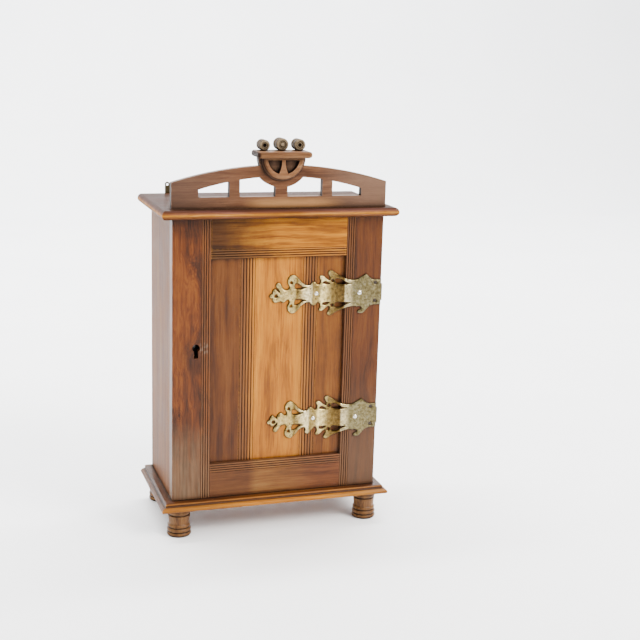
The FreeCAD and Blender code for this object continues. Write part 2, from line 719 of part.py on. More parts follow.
def hinge_pin(level):
    """Pin with a button head at each end."""
    reach = size("barrel_length") / 2 + 0.3
    shape = rod(size("pin_radius"), hinge_point(level - reach), hinge_point(level + reach))
    for sign in (-1, 1):
        button = Part.makeSphere(2.4, hinge_point(level + sign * reach))
        keep = Part.makeBox(6, 6, 3, hinge_point(level + sign * reach)
                            - Vector(3, 3, 0 if sign > 0 else 3))
        shape = shape.fuse(button.common(keep))
    return shape.removeSplitter()


def domed_rivet(x, seat, level, radius, depth):
    """Rivet with a low dome standing on `seat` and a shank into the door."""
    rise = 1.9
    sphere = (radius ** 2 + rise ** 2) / (2 * rise)
    ball = Part.makeSphere(sphere, Vector(x, seat - rise + sphere, level))
    keep = Part.makeBox(2 * radius, rise, 2 * radius, Vector(x - radius, seat - rise, level - radius))
    return ball.common(keep).fuse(rod(1.3, Vector(x, seat, level), Vector(x, seat + depth, level)))


def hinge_set():
    """Straps, rivets, screws, side leaves and pins; returns the holes for door and side."""
    holes = {"right_stile": [], "door_panel": [], "right_side": []}
    thick = size("strap_thick")
    heads = []
    leaf_seats = []
    for where, alias in hinges.items():
        level = size(alias)
        seats = [(RIVETS[0], panel_front - thick, "door_panel", 6.0),
                 (RIVETS[1], door_face - thick, "right_stile", 11.0)]
        shape = strap(where, level)
        rivets = []
        for (x, z), seat, host, depth in seats:
            rivets.append(domed_rivet(x, seat, level + z, 3.7, depth))
            hole = rod(1.3, Vector(x, seat, level + z), Vector(x, seat + depth, level + z))
            holes[host].append(hole)
            shape = shape.cut(hole)
        solid(f"strap_rivets_{where}", Part.makeCompound(rivets))
        for x, z in STRAP_SCREWS:
            seat = Vector(x, door_face - thick + 0.5, level + z)
            heads.append(seat)
            mouth = rod(2.2, seat - Vector(0, 1, 0), seat)
            shape = shape.cut(mouth).cut(screw_seat(2.2, 1.2, 1.2, 12, seat, Vector(0, 1, 0)))
        solid(f"hinge_strap_{where}", shape)
        leaf = side_leaf(level)
        for z in (-6.5, 6.5):
            seat = Vector(half_width + 1.6, door_back + 13.0, level + z)
            leaf_seats.append(seat)
            leaf = leaf.cut(screw_seat(2.2, 1.2, 1.2, 10, seat, Vector(-1, 0, 0)))
        solid(f"hinge_leaf_{where}", leaf)
        solid(f"hinge_pin_{where}", hinge_pin(level))
    holes["right_stile"] += screws("strap_screws", (2.2, 1.2, 1.2, 12), heads, Vector(0, 1, 0))
    holes["right_side"] += screws("leaf_screws", (2.2, 1.2, 1.2, 10), leaf_seats,
                                  Vector(-1, 0, 0))
    return holes


# ---------------------------------------------------------------- door
REED_PITCH = 3.3
REED_COUNT = 4
PANEL_REED_PITCH = 4.2
PANEL_REED_COUNT = 5
PANEL_REED_STARTS = (-53.8, 35.9)


def frame_section(inner, outer, direction):
    """Section of a stile or rail: (across, depth) from its outer edge to its reeded inner edge."""
    valley = door_face + size("reed_depth")
    band = inner + direction * REED_PITCH * REED_COUNT
    groove = inner + direction * size("groove_depth")
    play = size("fit_gap")
    path = [(outer, door_face), (band, door_face)]
    path += reeds(band, -direction * REED_PITCH, REED_COUNT, door_face, valley)
    path += [(inner, panel_front - play), (groove, panel_front - play),
             (groove, panel_back + play), (inner, panel_back + play), (inner, door_back),
             (outer, door_back)]
    return path


def tenon(name, side, z, height):
    """Tenon block at one end of a rail, bound to the sheet."""
    x = "body_width / 2 - stile_width"
    x = x if side > 0 else f"-({x}) - tenon_length"
    return box(name, (x, "door_face + panel_recess", z), ("tenon_length", "panel_thick", height))


def door(holes):
    """Two stiles, two rails and the floating panel."""
    low = f"{BASE_TOP} + edge_gap"
    high = f"{TOP_UNDER} - edge_gap"
    tenons = {"top": (f"{high} - top_rail_height + groove_depth + 1",
                      "top_rail_height - tenon_shoulder - groove_depth - 1"),
              "bottom": (f"{low} + tenon_shoulder",
                         "bottom_rail_height - tenon_shoulder - groove_depth - 1")}
    stile_height = "body_height - 2 * edge_gap"
    for side, sign in handles.items():
        section = frame_section(sign * opening_half, sign * half_width, sign)
        blank = pad(f"{side}_stile_blank", "XY_Plane", [section], stile_height, ("0", "0", low))
        tools = [tenon(f"{side}_{rail}_mortise", sign, *tenons[rail]) for rail in tenons]
        if sign < 0:
            tools.append(cylinder("keyhole_round", "keyhole_radius", "door_thick",
                                  ("key_x", "door_face", "key_z"), Vector(0, 1, 0)))
            tools.append(box("keyhole_slot", ("key_x - slot_width / 2", "door_face", "key_z - 14.5"),
                             ("slot_width", "door_thick", "14.5")))
        host = f"{side}_stile"
        tools.append(solid(host + "_holes", Part.makeCompound(holes[host])))
        cut(host, blank, tools)
    rail_levels = {"top": (door_high - size("top_rail_height"), door_high, 1),
                   "bottom": (door_low + size("bottom_rail_height"), door_low, -1)}
    for rail, (inner, outer, direction) in rail_levels.items():
        section = mapped(frame_section(inner, outer, direction), lambda up, y: (y, up))
        bar = pad(f"{rail}_rail_bar", "YZ_Plane", [section], "body_width - 2 * stile_width",
                  ("-body_width / 2 + stile_width", "0", "0"))
        ends = [tenon(f"{rail}_tenon_{side}", sign, *tenons[rail])
                for side, sign in handles.items()]
        join(f"{rail}_rail", [bar] + ends)
    half = opening_half + size("groove_depth") - size("fit_gap")
    valley = panel_front + size("reed_depth")
    span = PANEL_REED_PITCH * PANEL_REED_COUNT
    section = [(-half, panel_front)]
    for start in PANEL_REED_STARTS:
        section.append((start, panel_front))
        section += reeds(start, PANEL_REED_PITCH, PANEL_REED_COUNT, panel_front, valley)
        section.append((start + span, panel_front))
    section += [(half, panel_front), (half, panel_back), (-half, panel_back)]
    tongue = "groove_depth - fit_gap"
    blank = pad("door_panel_blank", "XY_Plane", [section],
                f"body_height - 2 * edge_gap - top_rail_height - bottom_rail_height + 2 * ({tongue})",
                ("0", "0", f"{low} + bottom_rail_height - ({tongue})"))
    drilled("door_panel", blank, holes["door_panel"])


# ---------------------------------------------------------------- lock
def lock():
    """Cupboard lock on the back of the left stile; returns its screw holes in the stile."""
    key_x, key_z = size("key_x"), size("key_z")
    left, right = key_x - 18.6, key_x + 19.4
    plate_back = door_back + 1.2
    case_back = plate_back + 10.0
    wall = 1.0
    bolt_z = key_z + 10.0
    seats = [Vector(x, plate_back, z) for x in (left + 5.5, right - 5.5)
             for z in (key_z - 22.0, key_z + 26.0)]
    holes = screws("lock_screws", (2.6, 1.2, 1.4, 12), seats, Vector(0, -1, 0))
    plate = Part.makeBox(right - left, 1.2, 56, Vector(left, door_back, key_z - 26))
    slot_width = size("slot_width")
    slot = Part.makeBox(slot_width, 20, 14.5,
                        Vector(key_x - slot_width / 2, door_back - 10, key_z - 14.5))
    keyhole = slot.fuse(rod(size("keyhole_radius"), Vector(key_x, door_back - 10, key_z),
                            Vector(key_x, door_back + 10, key_z)))
    solid("lock_plate", plate.cut(keyhole).cut(Part.makeCompound(holes)))
    outer = Part.makeBox(right - left, 10.0, 40, Vector(left, plate_back, key_z - 18))
    inner = Part.makeBox(right - left - 2 * wall, 9.0, 40 - 2 * wall,
                         Vector(left + wall, plate_back, key_z - 18 + wall))
    window = Part.makeBox(4, 4.6, 10.6, Vector(left - 1, plate_back + 1.7, bolt_z - 5.3))
    pin_hole = rod(1.5, Vector(key_x, plate_back, key_z), Vector(key_x, case_back, key_z))
    post = Vector(key_x + 12.8, plate_back, bolt_z + 1.0)
    post_end = Vector(post.x, case_back, post.z)
    post_hole = rod(1.5, post, post_end)
    solid("lock_case", outer.cut(inner).cut(Part.makeCompound([window, pin_hole, post_hole])))
    solid("lock_key_pin", rod(1.5, Vector(key_x, door_back - 6, key_z),
                              Vector(key_x, case_back, key_z)))
    solid("lever_post", rod(1.5, post, post_end))
    bolt = Part.makeBox(26.0, 4.0, 10.0, Vector(left + 1.2, plate_back + 2.0, bolt_z - 5))
    talon = rod(3.2, Vector(key_x, plate_back, bolt_z - 6.2), Vector(key_x, case_back, bolt_z - 6.2))
    solid("lock_bolt", bolt.cut(talon))
    lever_front = plate_back + 6.3
    reach = 24.0
    arm = Part.makeBox(reach, 1.2, 5.0, Vector(post.x - reach, lever_front, post.z - 2.5))
    boss = rod(4.0, Vector(post.x, lever_front, post.z), Vector(post.x, lever_front + 1.2, post.z))
    eye = rod(1.55, Vector(post.x, plate_back, post.z), post_end)
    solid("lock_lever", arm.fuse(boss).removeSplitter().cut(eye))
    spring_z = key_z - 18 + 40 - wall - 1.6
    strip = Part.makeBox(22, 1.2, 0.4, Vector(post.x - 22, lever_front, spring_z))
    foot = Part.makeBox(0.4, 1.2, 1.6, Vector(post.x - 0.4, lever_front, spring_z))
    solid("lock_spring", strip.fuse(foot).removeSplitter())
    return holes


def keeper():
    """Strike plate on the inside of the left side; returns its screw holes and bolt pocket."""
    bolt_z = size("key_z") + 10.0
    inside = -half_width + size("side_thick")
    bolt_y = door_back + 1.2 + 2.0
    pocket = Part.makeBox(12, 5.0, 12, Vector(inside - 10, bolt_y - 0.5, bolt_z - 6))
    plate = Part.makeBox(0.8, 9.0, 30, Vector(inside, bolt_y - 1.6, bolt_z - 15))
    seats = [Vector(inside + 0.8, bolt_y + 2.8, bolt_z + z) for z in (-10.5, 10.5)]
    holes = screws("keeper_screws", (1.9, 0.8, 1.0, 9), seats, Vector(-1, 0, 0))
    solid("keeper_plate", plate.cut(pocket).cut(Part.makeCompound(holes)))
    return holes + [pocket]


# ---------------------------------------------------------------- inside and back
def key_hook(x, face, z):
    """Bent wire hook with a collar, screwed into a rail at `face`."""
    wire = size("hook_wire")
    tail, out, bend, rise = 8.0, 10.0, 4.0, 6.0
    line_in = Part.LineSegment(Vector(x, face + tail, z), Vector(x, face - out, z))
    mid = Vector(x, face - out - bend * math.sin(math.pi / 4),
                 z + bend * (1 - math.cos(math.pi / 4)))
    arc = Part.Arc(Vector(x, face - out, z), mid, Vector(x, face - out - bend, z + bend))
    line_up = Part.LineSegment(Vector(x, face - out - bend, z + bend),
                               Vector(x, face - out - bend, z + bend + rise))
    path = Part.Wire([line_in.toShape(), arc.toShape(), line_up.toShape()])
    ring = Part.Wire(Part.makeCircle(wire, Vector(x, face + tail, z), Vector(0, -1, 0)))
    hook = path.makePipeShell([ring], True, False)
    collar = rod(2.6, Vector(x, face, z), Vector(x, face - 1.0, z))
    tip = Part.makeSphere(wire + 0.3, Vector(x, face - out - bend, z + bend + rise))
    return hook.fuse(collar).fuse(tip).removeSplitter()


def key_rails(back_holes):
    """Three rails of key hooks on the back panel."""
    face = body_back - size("back_thick") - size("rail_thick")
    pitch = size("hook_pitch")
    screw_sizes = (3.2, 1.6, 1.6, 14)
    rail_seats = []
    for index, row in enumerate(("lower", "middle", "upper")):
        z = size("rail_lowest") + index * size("rail_pitch")
        seats = [Vector(sign * (size("rail_length") / 2 - 9), face, z) for sign in (-1, 1)]
        rail_seats += seats
        places = [(step - 2.5) * pitch for step in range(6)]
        solid(f"key_hooks_{row}", Part.makeCompound([key_hook(x, face, z) for x in places]))
        holes = [rod(size("hook_wire"), Vector(x, face, z), Vector(x, face + 8, z))
                 for x in places]
        holes += [screw_seat(*screw_sizes, seat, Vector(0, 1, 0)) for seat in seats]
        level = f"rail_lowest + {index} * rail_pitch - rail_height / 2"
        blank = box(f"rail_blank_{row}", ("-rail_length / 2",
                                          "body_back - back_thick - rail_thick", level),
                    ("rail_length", "rail_thick", "rail_height"))
        drilled(f"key_rail_{row}", blank, holes)
    back_holes += screws("rail_screws", screw_sizes, rail_seats, Vector(0, 1, 0))


def hangers():
    """Two eye plates screwed to the back edge of the top board; returns their screw holes."""
    back = body_back + size("overhang_top_back")
    low, top, half, thick = top_under + 0.4, top_face + 16.6, 3.6, 2.0
    seats = []
    for side, sign in handles.items():
        x = sign * 123.0
        corners = [Vector(x - half, back, low), Vector(x + half, back, low),
                   Vector(x + half, back, top - half), Vector(x - half, back, top - half)]
        edges = [Part.LineSegment(a, b).toShape() for a, b in zip(corners, corners[1:-1])]
        edges.append(Part.Arc(corners[2], Vector(x, back, top), corners[3]).toShape())
        edges.append(Part.LineSegment(corners[3], corners[0]).toShape())
        plate = Part.Face(Part.Wire(edges)).extrude(Vector(0, thick, 0))
        spots = [Vector(x, back + thick, top_under + z) for z in (3.4, 9.2)]
        seats += spots
        holes = [screw_seat(1.9, 1.0, 1.1, 9, spot, Vector(0, -1, 0)) for spot in spots]
        eye = rod(1.8, Vector(x, back - 1, top - half - 0.4), Vector(x, back + 5, top - half - 0.4))
        solid(f"hanger_{side}", plate.cut(Part.makeCompound(holes + [eye])))
    return screws("hanger_screws", (1.9, 1.0, 1.1, 9), seats, Vector(0, -1, 0))


# ---------------------------------------------------------------- assembly
def build():
    """Make every sub-part; fasteners come first because their hosts need their holes."""
    hosts = ("base_board", "top_board", "left_side", "right_side", "back_panel", "crest_board",
             "left_stile", "right_stile", "door_panel")
    holes = {host: [] for host in hosts}
    carcass_fasteners(holes)
    for host, bores in hinge_set().items():
        holes[host] += bores
    holes["left_stile"] += lock()
    holes["left_side"] += keeper()
    key_rails(holes["back_panel"])
    holes["top_board"] += hangers()
    feet()
    carcass(holes)
    door(holes)
    crest_board(holes["crest_board"])
    crest_boss()
    pins = roller_pins()
    crest_shelf(pins)
    crest_rollers(pins)


ROWS = ("lower", "middle", "upper")
SIDES = ("left", "right")
NODES = ["base_board", "top_board", "left_side", "right_side", "back_panel", "carcass_screws",
         "carcass_dowels", "back_pins", "crest_board", "crest_boss", "crest_shelf",
         "crest_screws", "roller_pins", "hanger_screws", "rail_screws", "keeper_plate",
         "keeper_screws", "leaf_screws", "left_stile", "right_stile", "top_rail", "bottom_rail",
         "door_panel", "strap_screws", "lock_plate", "lock_case", "lock_key_pin", "lever_post",
         "lock_spring", "lock_screws", "lock_bolt", "lock_lever"]
NODES += [f"foot_{depth}_{side}" for depth in ("front", "back") for side in SIDES]
NODES += [f"crest_roller_{name}" for name in ("left", "middle", "right")]
NODES += [f"hanger_{side}" for side in SIDES]
NODES += [f"{kind}_{row}" for kind in ("key_rail", "key_hooks") for row in ROWS]
NODES += [f"{kind}_{where}" for where in hinges
          for kind in ("hinge_strap", "strap_rivets", "hinge_leaf", "hinge_pin")]


def check_and_export():
    """Stop on any failed feature, then write one file per node."""
    for item in doc.Objects:
        if "Invalid" in item.State or "Error" in item.State:
            raise RuntimeError(f"{item.Label} failed: {item.State}")
    os.makedirs("parts", exist_ok=True)
    for name in NODES:
        item = doc.getObject(name)
        if item.Shape.isNull() or not item.Shape.isValid() or item.Shape.Volume <= 0:
            raise RuntimeError(f"{name} has no valid solid")
        item.Shape.exportStep(f"parts/{name}.step")
        print(f"{name:24s} {len(item.Shape.Solids):2d} solids {item.Shape.Volume / 1000:9.2f} cm3")


build()
doc.recompute()
check_and_export()
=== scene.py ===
"""Looks of the key cabinet: worn varnished wood, cast strap hinges with relief, studio light."""
import math

import bmesh
import bpy
import numpy as np
from mathutils import Matrix, Vector, geometry


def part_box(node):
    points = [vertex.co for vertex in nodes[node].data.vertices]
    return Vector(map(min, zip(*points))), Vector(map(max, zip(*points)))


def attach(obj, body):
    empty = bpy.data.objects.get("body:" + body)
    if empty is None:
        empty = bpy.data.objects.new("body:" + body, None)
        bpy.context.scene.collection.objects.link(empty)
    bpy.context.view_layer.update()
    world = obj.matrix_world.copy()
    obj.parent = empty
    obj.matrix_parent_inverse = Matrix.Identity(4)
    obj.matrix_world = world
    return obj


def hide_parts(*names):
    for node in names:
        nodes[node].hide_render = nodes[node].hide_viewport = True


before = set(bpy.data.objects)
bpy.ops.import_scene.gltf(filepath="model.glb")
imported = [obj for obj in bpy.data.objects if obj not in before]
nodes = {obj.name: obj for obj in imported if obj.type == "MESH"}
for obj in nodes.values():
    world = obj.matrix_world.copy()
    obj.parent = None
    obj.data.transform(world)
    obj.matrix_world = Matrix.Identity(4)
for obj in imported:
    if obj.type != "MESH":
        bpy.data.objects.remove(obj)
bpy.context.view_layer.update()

MM = 0.001


# ---------------------------------------------------------------- material tools
class Look:
    """A material under construction. Each method adds nodes and returns an output socket."""

    def __init__(self, name):
        self.material = bpy.data.materials.new(name)
        self.material.use_nodes = True
        self.tree = self.material.node_tree
        self.tree.nodes.clear()
        coordinates = self.add("ShaderNodeTexCoord").outputs
        self.here = coordinates["Object"]
        self.normal = coordinates["Normal"]

    def add(self, kind, settings=None, **inputs):
        node = self.tree.nodes.new(kind)
        for key, value in (settings or {}).items():
            setattr(node, key, value)
        for key, value in inputs.items():
            self.feed(node.inputs[key.replace("_", " ")], value)
        return node

    def feed(self, socket, value):
        if isinstance(value, bpy.types.NodeSocket):
            self.tree.links.new(value, socket)
        elif isinstance(value, tuple) and len(value) == 3 and socket.type == "RGBA":
            socket.default_value = (*value, 1.0)
        else:
            socket.default_value = value

    def math(self, operation, a, b=0.0):
        node = self.add("ShaderNodeMath", {"operation": operation})
        self.feed(node.inputs[0], a)
        self.feed(node.inputs[1], b)
        return node.outputs[0]

    def total(self, *terms):
        """Sum of (socket, weight) pairs."""
        result = 0.0
        for socket, weight in terms:
            node = self.add("ShaderNodeMath", {"operation": "MULTIPLY_ADD"})
            for place, value in enumerate((socket, weight, result)):
                self.feed(node.inputs[place], value)
            result = node.outputs[0]
        return result

    def mix(self, a, b, factor, blend="MIX"):
        node = self.add("ShaderNodeMix", {"data_type": "RGBA", "blend_type": blend})
        self.feed(node.inputs[0], factor)
        self.feed(node.inputs[6], a)
        self.feed(node.inputs[7], b)
        return node.outputs[2]

    def stretched(self, scale, shift=(0, 0, 0), source=None):
        node = self.add("ShaderNodeMapping", Vector=source or self.here, Scale=scale,
                        Location=shift)
        return node.outputs[0]

    def noise(self, vector, scale, detail=3.0, roughness=0.5, distortion=0.0):
        node = self.add("ShaderNodeTexNoise", Vector=vector, Scale=scale, Detail=detail,
                        Roughness=roughness, Distortion=distortion)
        return node.outputs["Fac"]

    def spots(self, vector, scale):
        """Distance to the nearest of scattered points."""
        node = self.add("ShaderNodeTexVoronoi", Vector=vector, Scale=scale)
        return node.outputs["Distance"]

    def between(self, value, low, high, to_low=0.0, to_high=1.0):
        """Smooth rise from to_low to to_high while value goes from low to high, or falls."""
        if low > high:
            low, high, to_low, to_high = high, low, to_high, to_low
        node = self.add("ShaderNodeMapRange", {"interpolation_type": "SMOOTHSTEP"}, Value=value)
        for key, number in (("From Min", low), ("From Max", high), ("To Min", to_low),
                            ("To Max", to_high)):
            node.inputs[key].default_value = number
        return node.outputs[0]

    def ramp(self, value, stops):
        node = self.add("ShaderNodeValToRGB", Fac=value)
        points = node.color_ramp.elements
        while len(points) < len(stops):
            points.new(0.5)
        for point, (place, colour) in zip(points, stops):
            point.position = place
            point.color = (*colour, 1.0)
        return node.outputs[0]

    def along(self, value, stops):
        """Colour that changes along a coordinate, from (millimetres, colour) stops."""
        low, high = stops[0][0], stops[-1][0]
        share = self.add("ShaderNodeMapRange", Value=value)
        share.inputs["From Min"].default_value = low * MM
        share.inputs["From Max"].default_value = high * MM
        return self.ramp(share.outputs[0],
                         [((place - low) / (high - low), colour) for place, colour in stops])

    def xyz(self):
        return self.add("ShaderNodeSeparateXYZ", Vector=self.here).outputs

    def inside(self, name):
        """X, Y and Z measured from the low corner of a CAD node's box."""
        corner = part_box(name)[0]
        return [self.math("SUBTRACT", axis, start) for axis, start in zip(self.xyz(), corner)]

    def facing(self):
        """X, Y and Z of the surface normal, in the object's own axes."""
        return self.add("ShaderNodeSeparateXYZ", Vector=self.normal).outputs

    def region(self, *edges):
        """Product of smooth rises, each given as (value, low, high)."""
        result = 1.0
        for value, low, high in edges:
            result = self.math("MULTIPLY", result, self.between(value, low, high))
        return result

    def stain(self, colour, tone, amount):
        return self.mix(colour, tone, amount, "MULTIPLY")

    def occlusion(self, distance, inside=False):
        node = self.add("ShaderNodeAmbientOcclusion", {"samples": 6, "inside": inside})
        node.inputs["Distance"].default_value = distance
        return node.outputs["AO"]

    def bump(self, height, distance):
        return self.add("ShaderNodeBump", Height=height, Strength=1.0, Distance=distance).outputs[0]

    def finish(self, **inputs):
        shader = self.add("ShaderNodeBsdfPrincipled")
        for key, value in inputs.items():
            self.feed(shader.inputs[key.replace("_", " ")], value)
        output = self.add("ShaderNodeOutputMaterial")
        self.tree.links.new(shader.outputs[0], output.inputs[0])
        return self.material


# ---------------------------------------------------------------- wood
# Tones are linear colours: dark streaks, body and light streaks of the wood.
REDDISH = ((0.026, 0.0060, 0.0004), (0.082, 0.0185, 0.0010), (0.138, 0.0385, 0.0030))
GOLDEN = ((0.120, 0.0330, 0.0004), (0.300, 0.0980, 0.0012), (0.460, 0.1850, 0.0080))
BROWN = ((0.042, 0.0135, 0.0032), (0.103, 0.0370, 0.0090), (0.165, 0.0690, 0.0190))
RAW = ((0.060, 0.043, 0.025), (0.130, 0.097, 0.060), (0.215, 0.165, 0.105))
# Dark brown for dirt and painted shade in corners and crevices.
SOOT_AND_SHADE = (0.008, 0.005, 0.0035)
DUST = (0.15, 0.12, 0.105)
# Painted shade for reed valleys and painted highlight for reed ridges.
VALLEY_SHADE = (0.020, 0.007, 0.002)
RIDGE_HIGHLIGHT = (0.34, 0.155, 0.060)
CORNER_REACH = 9.0 * MM
CREVICE_REACH = 2.5 * MM
EDGE_REACH = 2.2 * MM


def shade(tones, *factors):
    """Tones with red, green and blue scaled."""
    return tuple(tuple(channel * factor for channel, factor in zip(tone, factors))
                 for tone in tones)


def drawn_out(share):
    """Scales that draw a pattern out along each grain direction."""
    return {"x": (share, 1, 1), "y": (1, share, 1), "z": (1, 1, share)}


STRETCH = drawn_out(0.07)
PORE_STRETCH = drawn_out(0.03)
BEND_STRETCH = drawn_out(0.35)


def swaying(look, grain, shift, bend):
    """Place on the board, moved about slowly so that the grain wanders."""
    wander = look.noise(look.stretched(BEND_STRETCH[grain], shift), 20, 2)
    sway = look.add("ShaderNodeVectorMath", {"operation": "SCALE"})
    look.feed(sway.inputs[0], (1.0, 1.0, 1.0))
    look.feed(sway.inputs["Scale"], look.math("MULTIPLY", look.math("SUBTRACT", wander, 0.5), bend))
    moved = look.add("ShaderNodeVectorMath", {"operation": "ADD"})
    look.feed(moved.inputs[0], look.here)
    look.feed(moved.inputs[1], sway.outputs[0])
    return moved.outputs[0]


def reed_shading(look, colour):
    """Painted shade in the valleys and painted highlight on the ridges, found by how far a reed
    leans from the front.
    """
    lean = look.math("ABSOLUTE", look.facing()[1])
    valley_shade_mask = look.region((lean, 0.30, 0.45), (lean, 0.94, 0.78))
    ridge_highlight_mask = look.region((lean, 0.87, 0.95), (lean, 0.999, 0.985))
    colour = look.mix(colour, VALLEY_SHADE, look.math("MULTIPLY", valley_shade_mask, 0.92))
    return look.mix(colour, RIDGE_HIGHLIGHT, look.math("MULTIPLY", ridge_highlight_mask, 0.22))


def wood(name, grain, tones, seed, figure=75.0, contrast=1.0, grime_and_shade=0.75, wear=0.5,
         rough=0.38, tint=None, bend=0.014, polish=0.20, reeded=False):
    """Varnished board with its grain along one axis, dirt and painted shade in its corners and
    crevices, and worn edges.

    Figure is the fineness of the streaks, bend how far they wander in metres, and polish the
    strength of the varnish's reflection.
    """
    look = Look(name)
    shift = (seed * 1.37, seed * 0.71, seed * 2.13)
    wavy = swaying(look, grain, shift, bend)
    rings = look.noise(look.stretched(STRETCH[grain], shift, wavy), figure, 3, 0.55)
    fibres = look.noise(look.stretched(PORE_STRETCH[grain], shift, wavy), 520, 4, 0.6)
    hairs = look.noise(look.stretched(PORE_STRETCH[grain], shift, wavy), 1900, 2, 0.6)
    blotches = look.noise(look.stretched((1, 1, 1), shift), 13, 3, 0.6)
    streaks = look.total((rings, 0.85 * contrast), (fibres, 0.60 * contrast),
                         (hairs, 0.26), (blotches, 0.28))
    middle = 0.5 * (0.85 * contrast + 0.60 * contrast + 0.26 + 0.28)
    colour = look.ramp(look.between(streaks, middle - 0.34, middle + 0.34),
                       ((0.08, tones[0]), (0.48, tones[1]), (0.95, tones[2])))
    pores = look.between(hairs, 0.60, 0.72)
    colour = look.mix(colour, tuple(0.35 * channel for channel in tones[0]),
                      look.math("MULTIPLY", pores, 0.55))
    if tint:
        colour = tint(look, colour)
    colour = look.mix(colour, DUST, 0.030)
    # Corners and hollows darken with speckled dirt and painted shade found by occlusion.
    open_air = look.between(look.occlusion(CORNER_REACH), 0.84 if reeded else 0.97, 0.42)
    speckle = look.noise(look.stretched((1, 1, 1), shift), 240, 4, 0.7)
    dirt = look.between(look.total((open_air, 1.0), (speckle, 0.30)), 0.30, 1.15, 0.0, grime_and_shade)
    colour = look.mix(colour, SOOT_AND_SHADE, dirt)
    if reeded:
        colour = reed_shading(look, colour)
    else:
        # Dark joints and painted shade in narrow crevices, found by a short occlusion.
        tight = look.between(look.occlusion(CREVICE_REACH), 0.97, 0.66)
        colour = look.mix(colour, SOOT_AND_SHADE, look.math("MULTIPLY", tight, grime_and_shade))
    edges = look.between(look.occlusion(EDGE_REACH, True), 0.80, 0.25)
    rubbed = look.math("MULTIPLY", edges, look.between(speckle, 0.42, 0.62, 0.15, wear))
    pale = tuple(min(1.0, 1.35 * channel + 0.03) for channel in tones[2])
    colour = look.mix(colour, pale, rubbed)
    scratches = look.between(look.noise(look.stretched(STRETCH[grain], shift), 900, 2), 0.66, 0.72)
    roughness = look.total((blotches, 0.20), (dirt, 0.30), (fibres, 0.14), (pores, 0.12),
                           (1.0, rough - 0.14))
    relief = look.total((fibres, 0.45), (pores, -0.5), (rings, 0.35), (scratches, -0.3))
    return look.finish(Base_Color=colour, Roughness=roughness, Normal=look.bump(relief, 0.22 * MM),
                       Specular_IOR_Level=polish, IOR=1.38, Coat_Weight=0.03, Coat_Roughness=0.25)


# ---------------------------------------------------------------- tints of single boards
def panel_tint(look, colour):
    """Golden middle of the panel, redder to the right and brown to the left of the reeds."""
    x, _, z = look.inside("door_panel")
    left = look.between(x, 0.070, 0.050)
    right = look.between(x, 0.121, 0.156)
    low = look.between(z, 0.243, 0.003)
    colour = look.stain(colour, (0.19, 0.145, 0.80), look.math("MULTIPLY", left, 0.92))
    colour = look.stain(colour, (0.36, 0.32, 0.80), look.math("MULTIPLY", right, 0.90))
    return look.stain(colour, (0.72, 0.66, 0.70), look.math("MULTIPLY", low, 0.60))


def smoke_tint(look, colour):
    """Smoky stain at the left end and along the foot of the upper rail."""
    x, _, z = look.inside("top_rail")
    cloud = look.noise(look.here, 28, 4, 0.6)
    left = look.between(look.total((x, 1.0), (cloud, 0.07)), 0.166, 0.066)
    foot = look.region((look.total((x, 1.0), (cloud, 0.10)), 0.201, 0.116),
                       (look.total((z, 1.0), (cloud, 0.02)), 0.030, 0.014))
    colour = look.stain(colour, (0.108, 0.094, 0.90), look.math("MULTIPLY", left, 0.96))
    return look.stain(colour, (0.35, 0.33, 0.50), look.math("MULTIPLY", foot, 0.80))


def oval(look, middle, squeeze):
    """Distance from a point in the XZ plane, with heights scaled by squeeze."""
    gap = look.add("ShaderNodeVectorMath", {"operation": "DISTANCE"})
    look.feed(gap.inputs[0], look.stretched((1, 0, squeeze)))
    look.feed(gap.inputs[1], (middle.x, 0.0, squeeze * middle.z))
    return gap.outputs["Value"]


def knot(look, colour, middle, reach):
    """Dark oval knot with rings round it."""
    ragged = look.total((oval(look, middle, 0.75), 1.0),
                        (look.noise(look.here, 140, 2), 0.0035))
    waves = look.math("SINE", look.math("MULTIPLY", ragged, 2600.0))
    rings = look.math("MULTIPLY", look.between(waves, -0.2, 0.9),
                      look.between(ragged, 2.2 * reach, reach))
    heart = look.between(ragged, reach, 0.4 * reach)
    colour = look.stain(colour, (0.45, 0.40, 0.45), look.math("MULTIPLY", rings, 0.6))
    return look.stain(colour, (0.30, 0.26, 0.35), look.math("MULTIPLY", heart, 0.85))


def stile_tint(look, colour):
    """Left stile: smoky top, painted grey sheen on its foot, a knot, and dirt and scuffs round the
    keyhole.
    """
    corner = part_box("left_stile")[0]
    x, _, z = look.inside("left_stile")
    cloud = look.noise(look.here, 30, 4, 0.6)
    top = look.between(look.total((z, 1.0), (cloud, 0.06)), 0.392, 0.422)
    low = look.between(look.total((z, 1.0), (cloud, 0.08), (x, 0.4)), 0.182, 0.072)
    colour = look.stain(colour, (0.38, 0.40, 0.60), look.math("MULTIPLY", top, 0.8))
    # Painted grey sheen: paler, greyer grain towards the foot.
    grain = look.noise(look.stretched((1, 1, 0.08)), 260, 4)
    sheen_grain = look.ramp(grain, ((0.32, (0.062, 0.035, 0.017)), (0.68, (0.142, 0.088, 0.047))))
    colour = look.mix(colour, sheen_grain, look.math("MULTIPLY", low, 0.70))
    colour = knot(look, colour, corner + Vector((0.0096, 0.0, 0.1241)), 0.0055)
    low_corner, high_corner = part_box("lock_key_pin")
    hole = (low_corner + high_corner) / 2
    ragged = look.total((oval(look, hole - Vector((0.0, 0.0, 0.012)), 0.6), 1.0), (cloud, 0.030))
    colour = look.stain(colour, (0.30, 0.30, 0.38), look.between(ragged, 0.040, 0.018, 0.0, 0.8))
    right, up = hole.x - corner.x, hole.z - corner.z
    scuff = look.region((x, right + 0.004, right + 0.008), (x, right + 0.020, right + 0.014),
                        (z, up - 0.012, up - 0.004), (z, up + 0.009, up + 0.004),
                        (look.noise(look.here, 210, 3), 0.42, 0.62))
    return look.mix(colour, (0.150, 0.115, 0.085), look.math("MULTIPLY", scuff, 0.65))


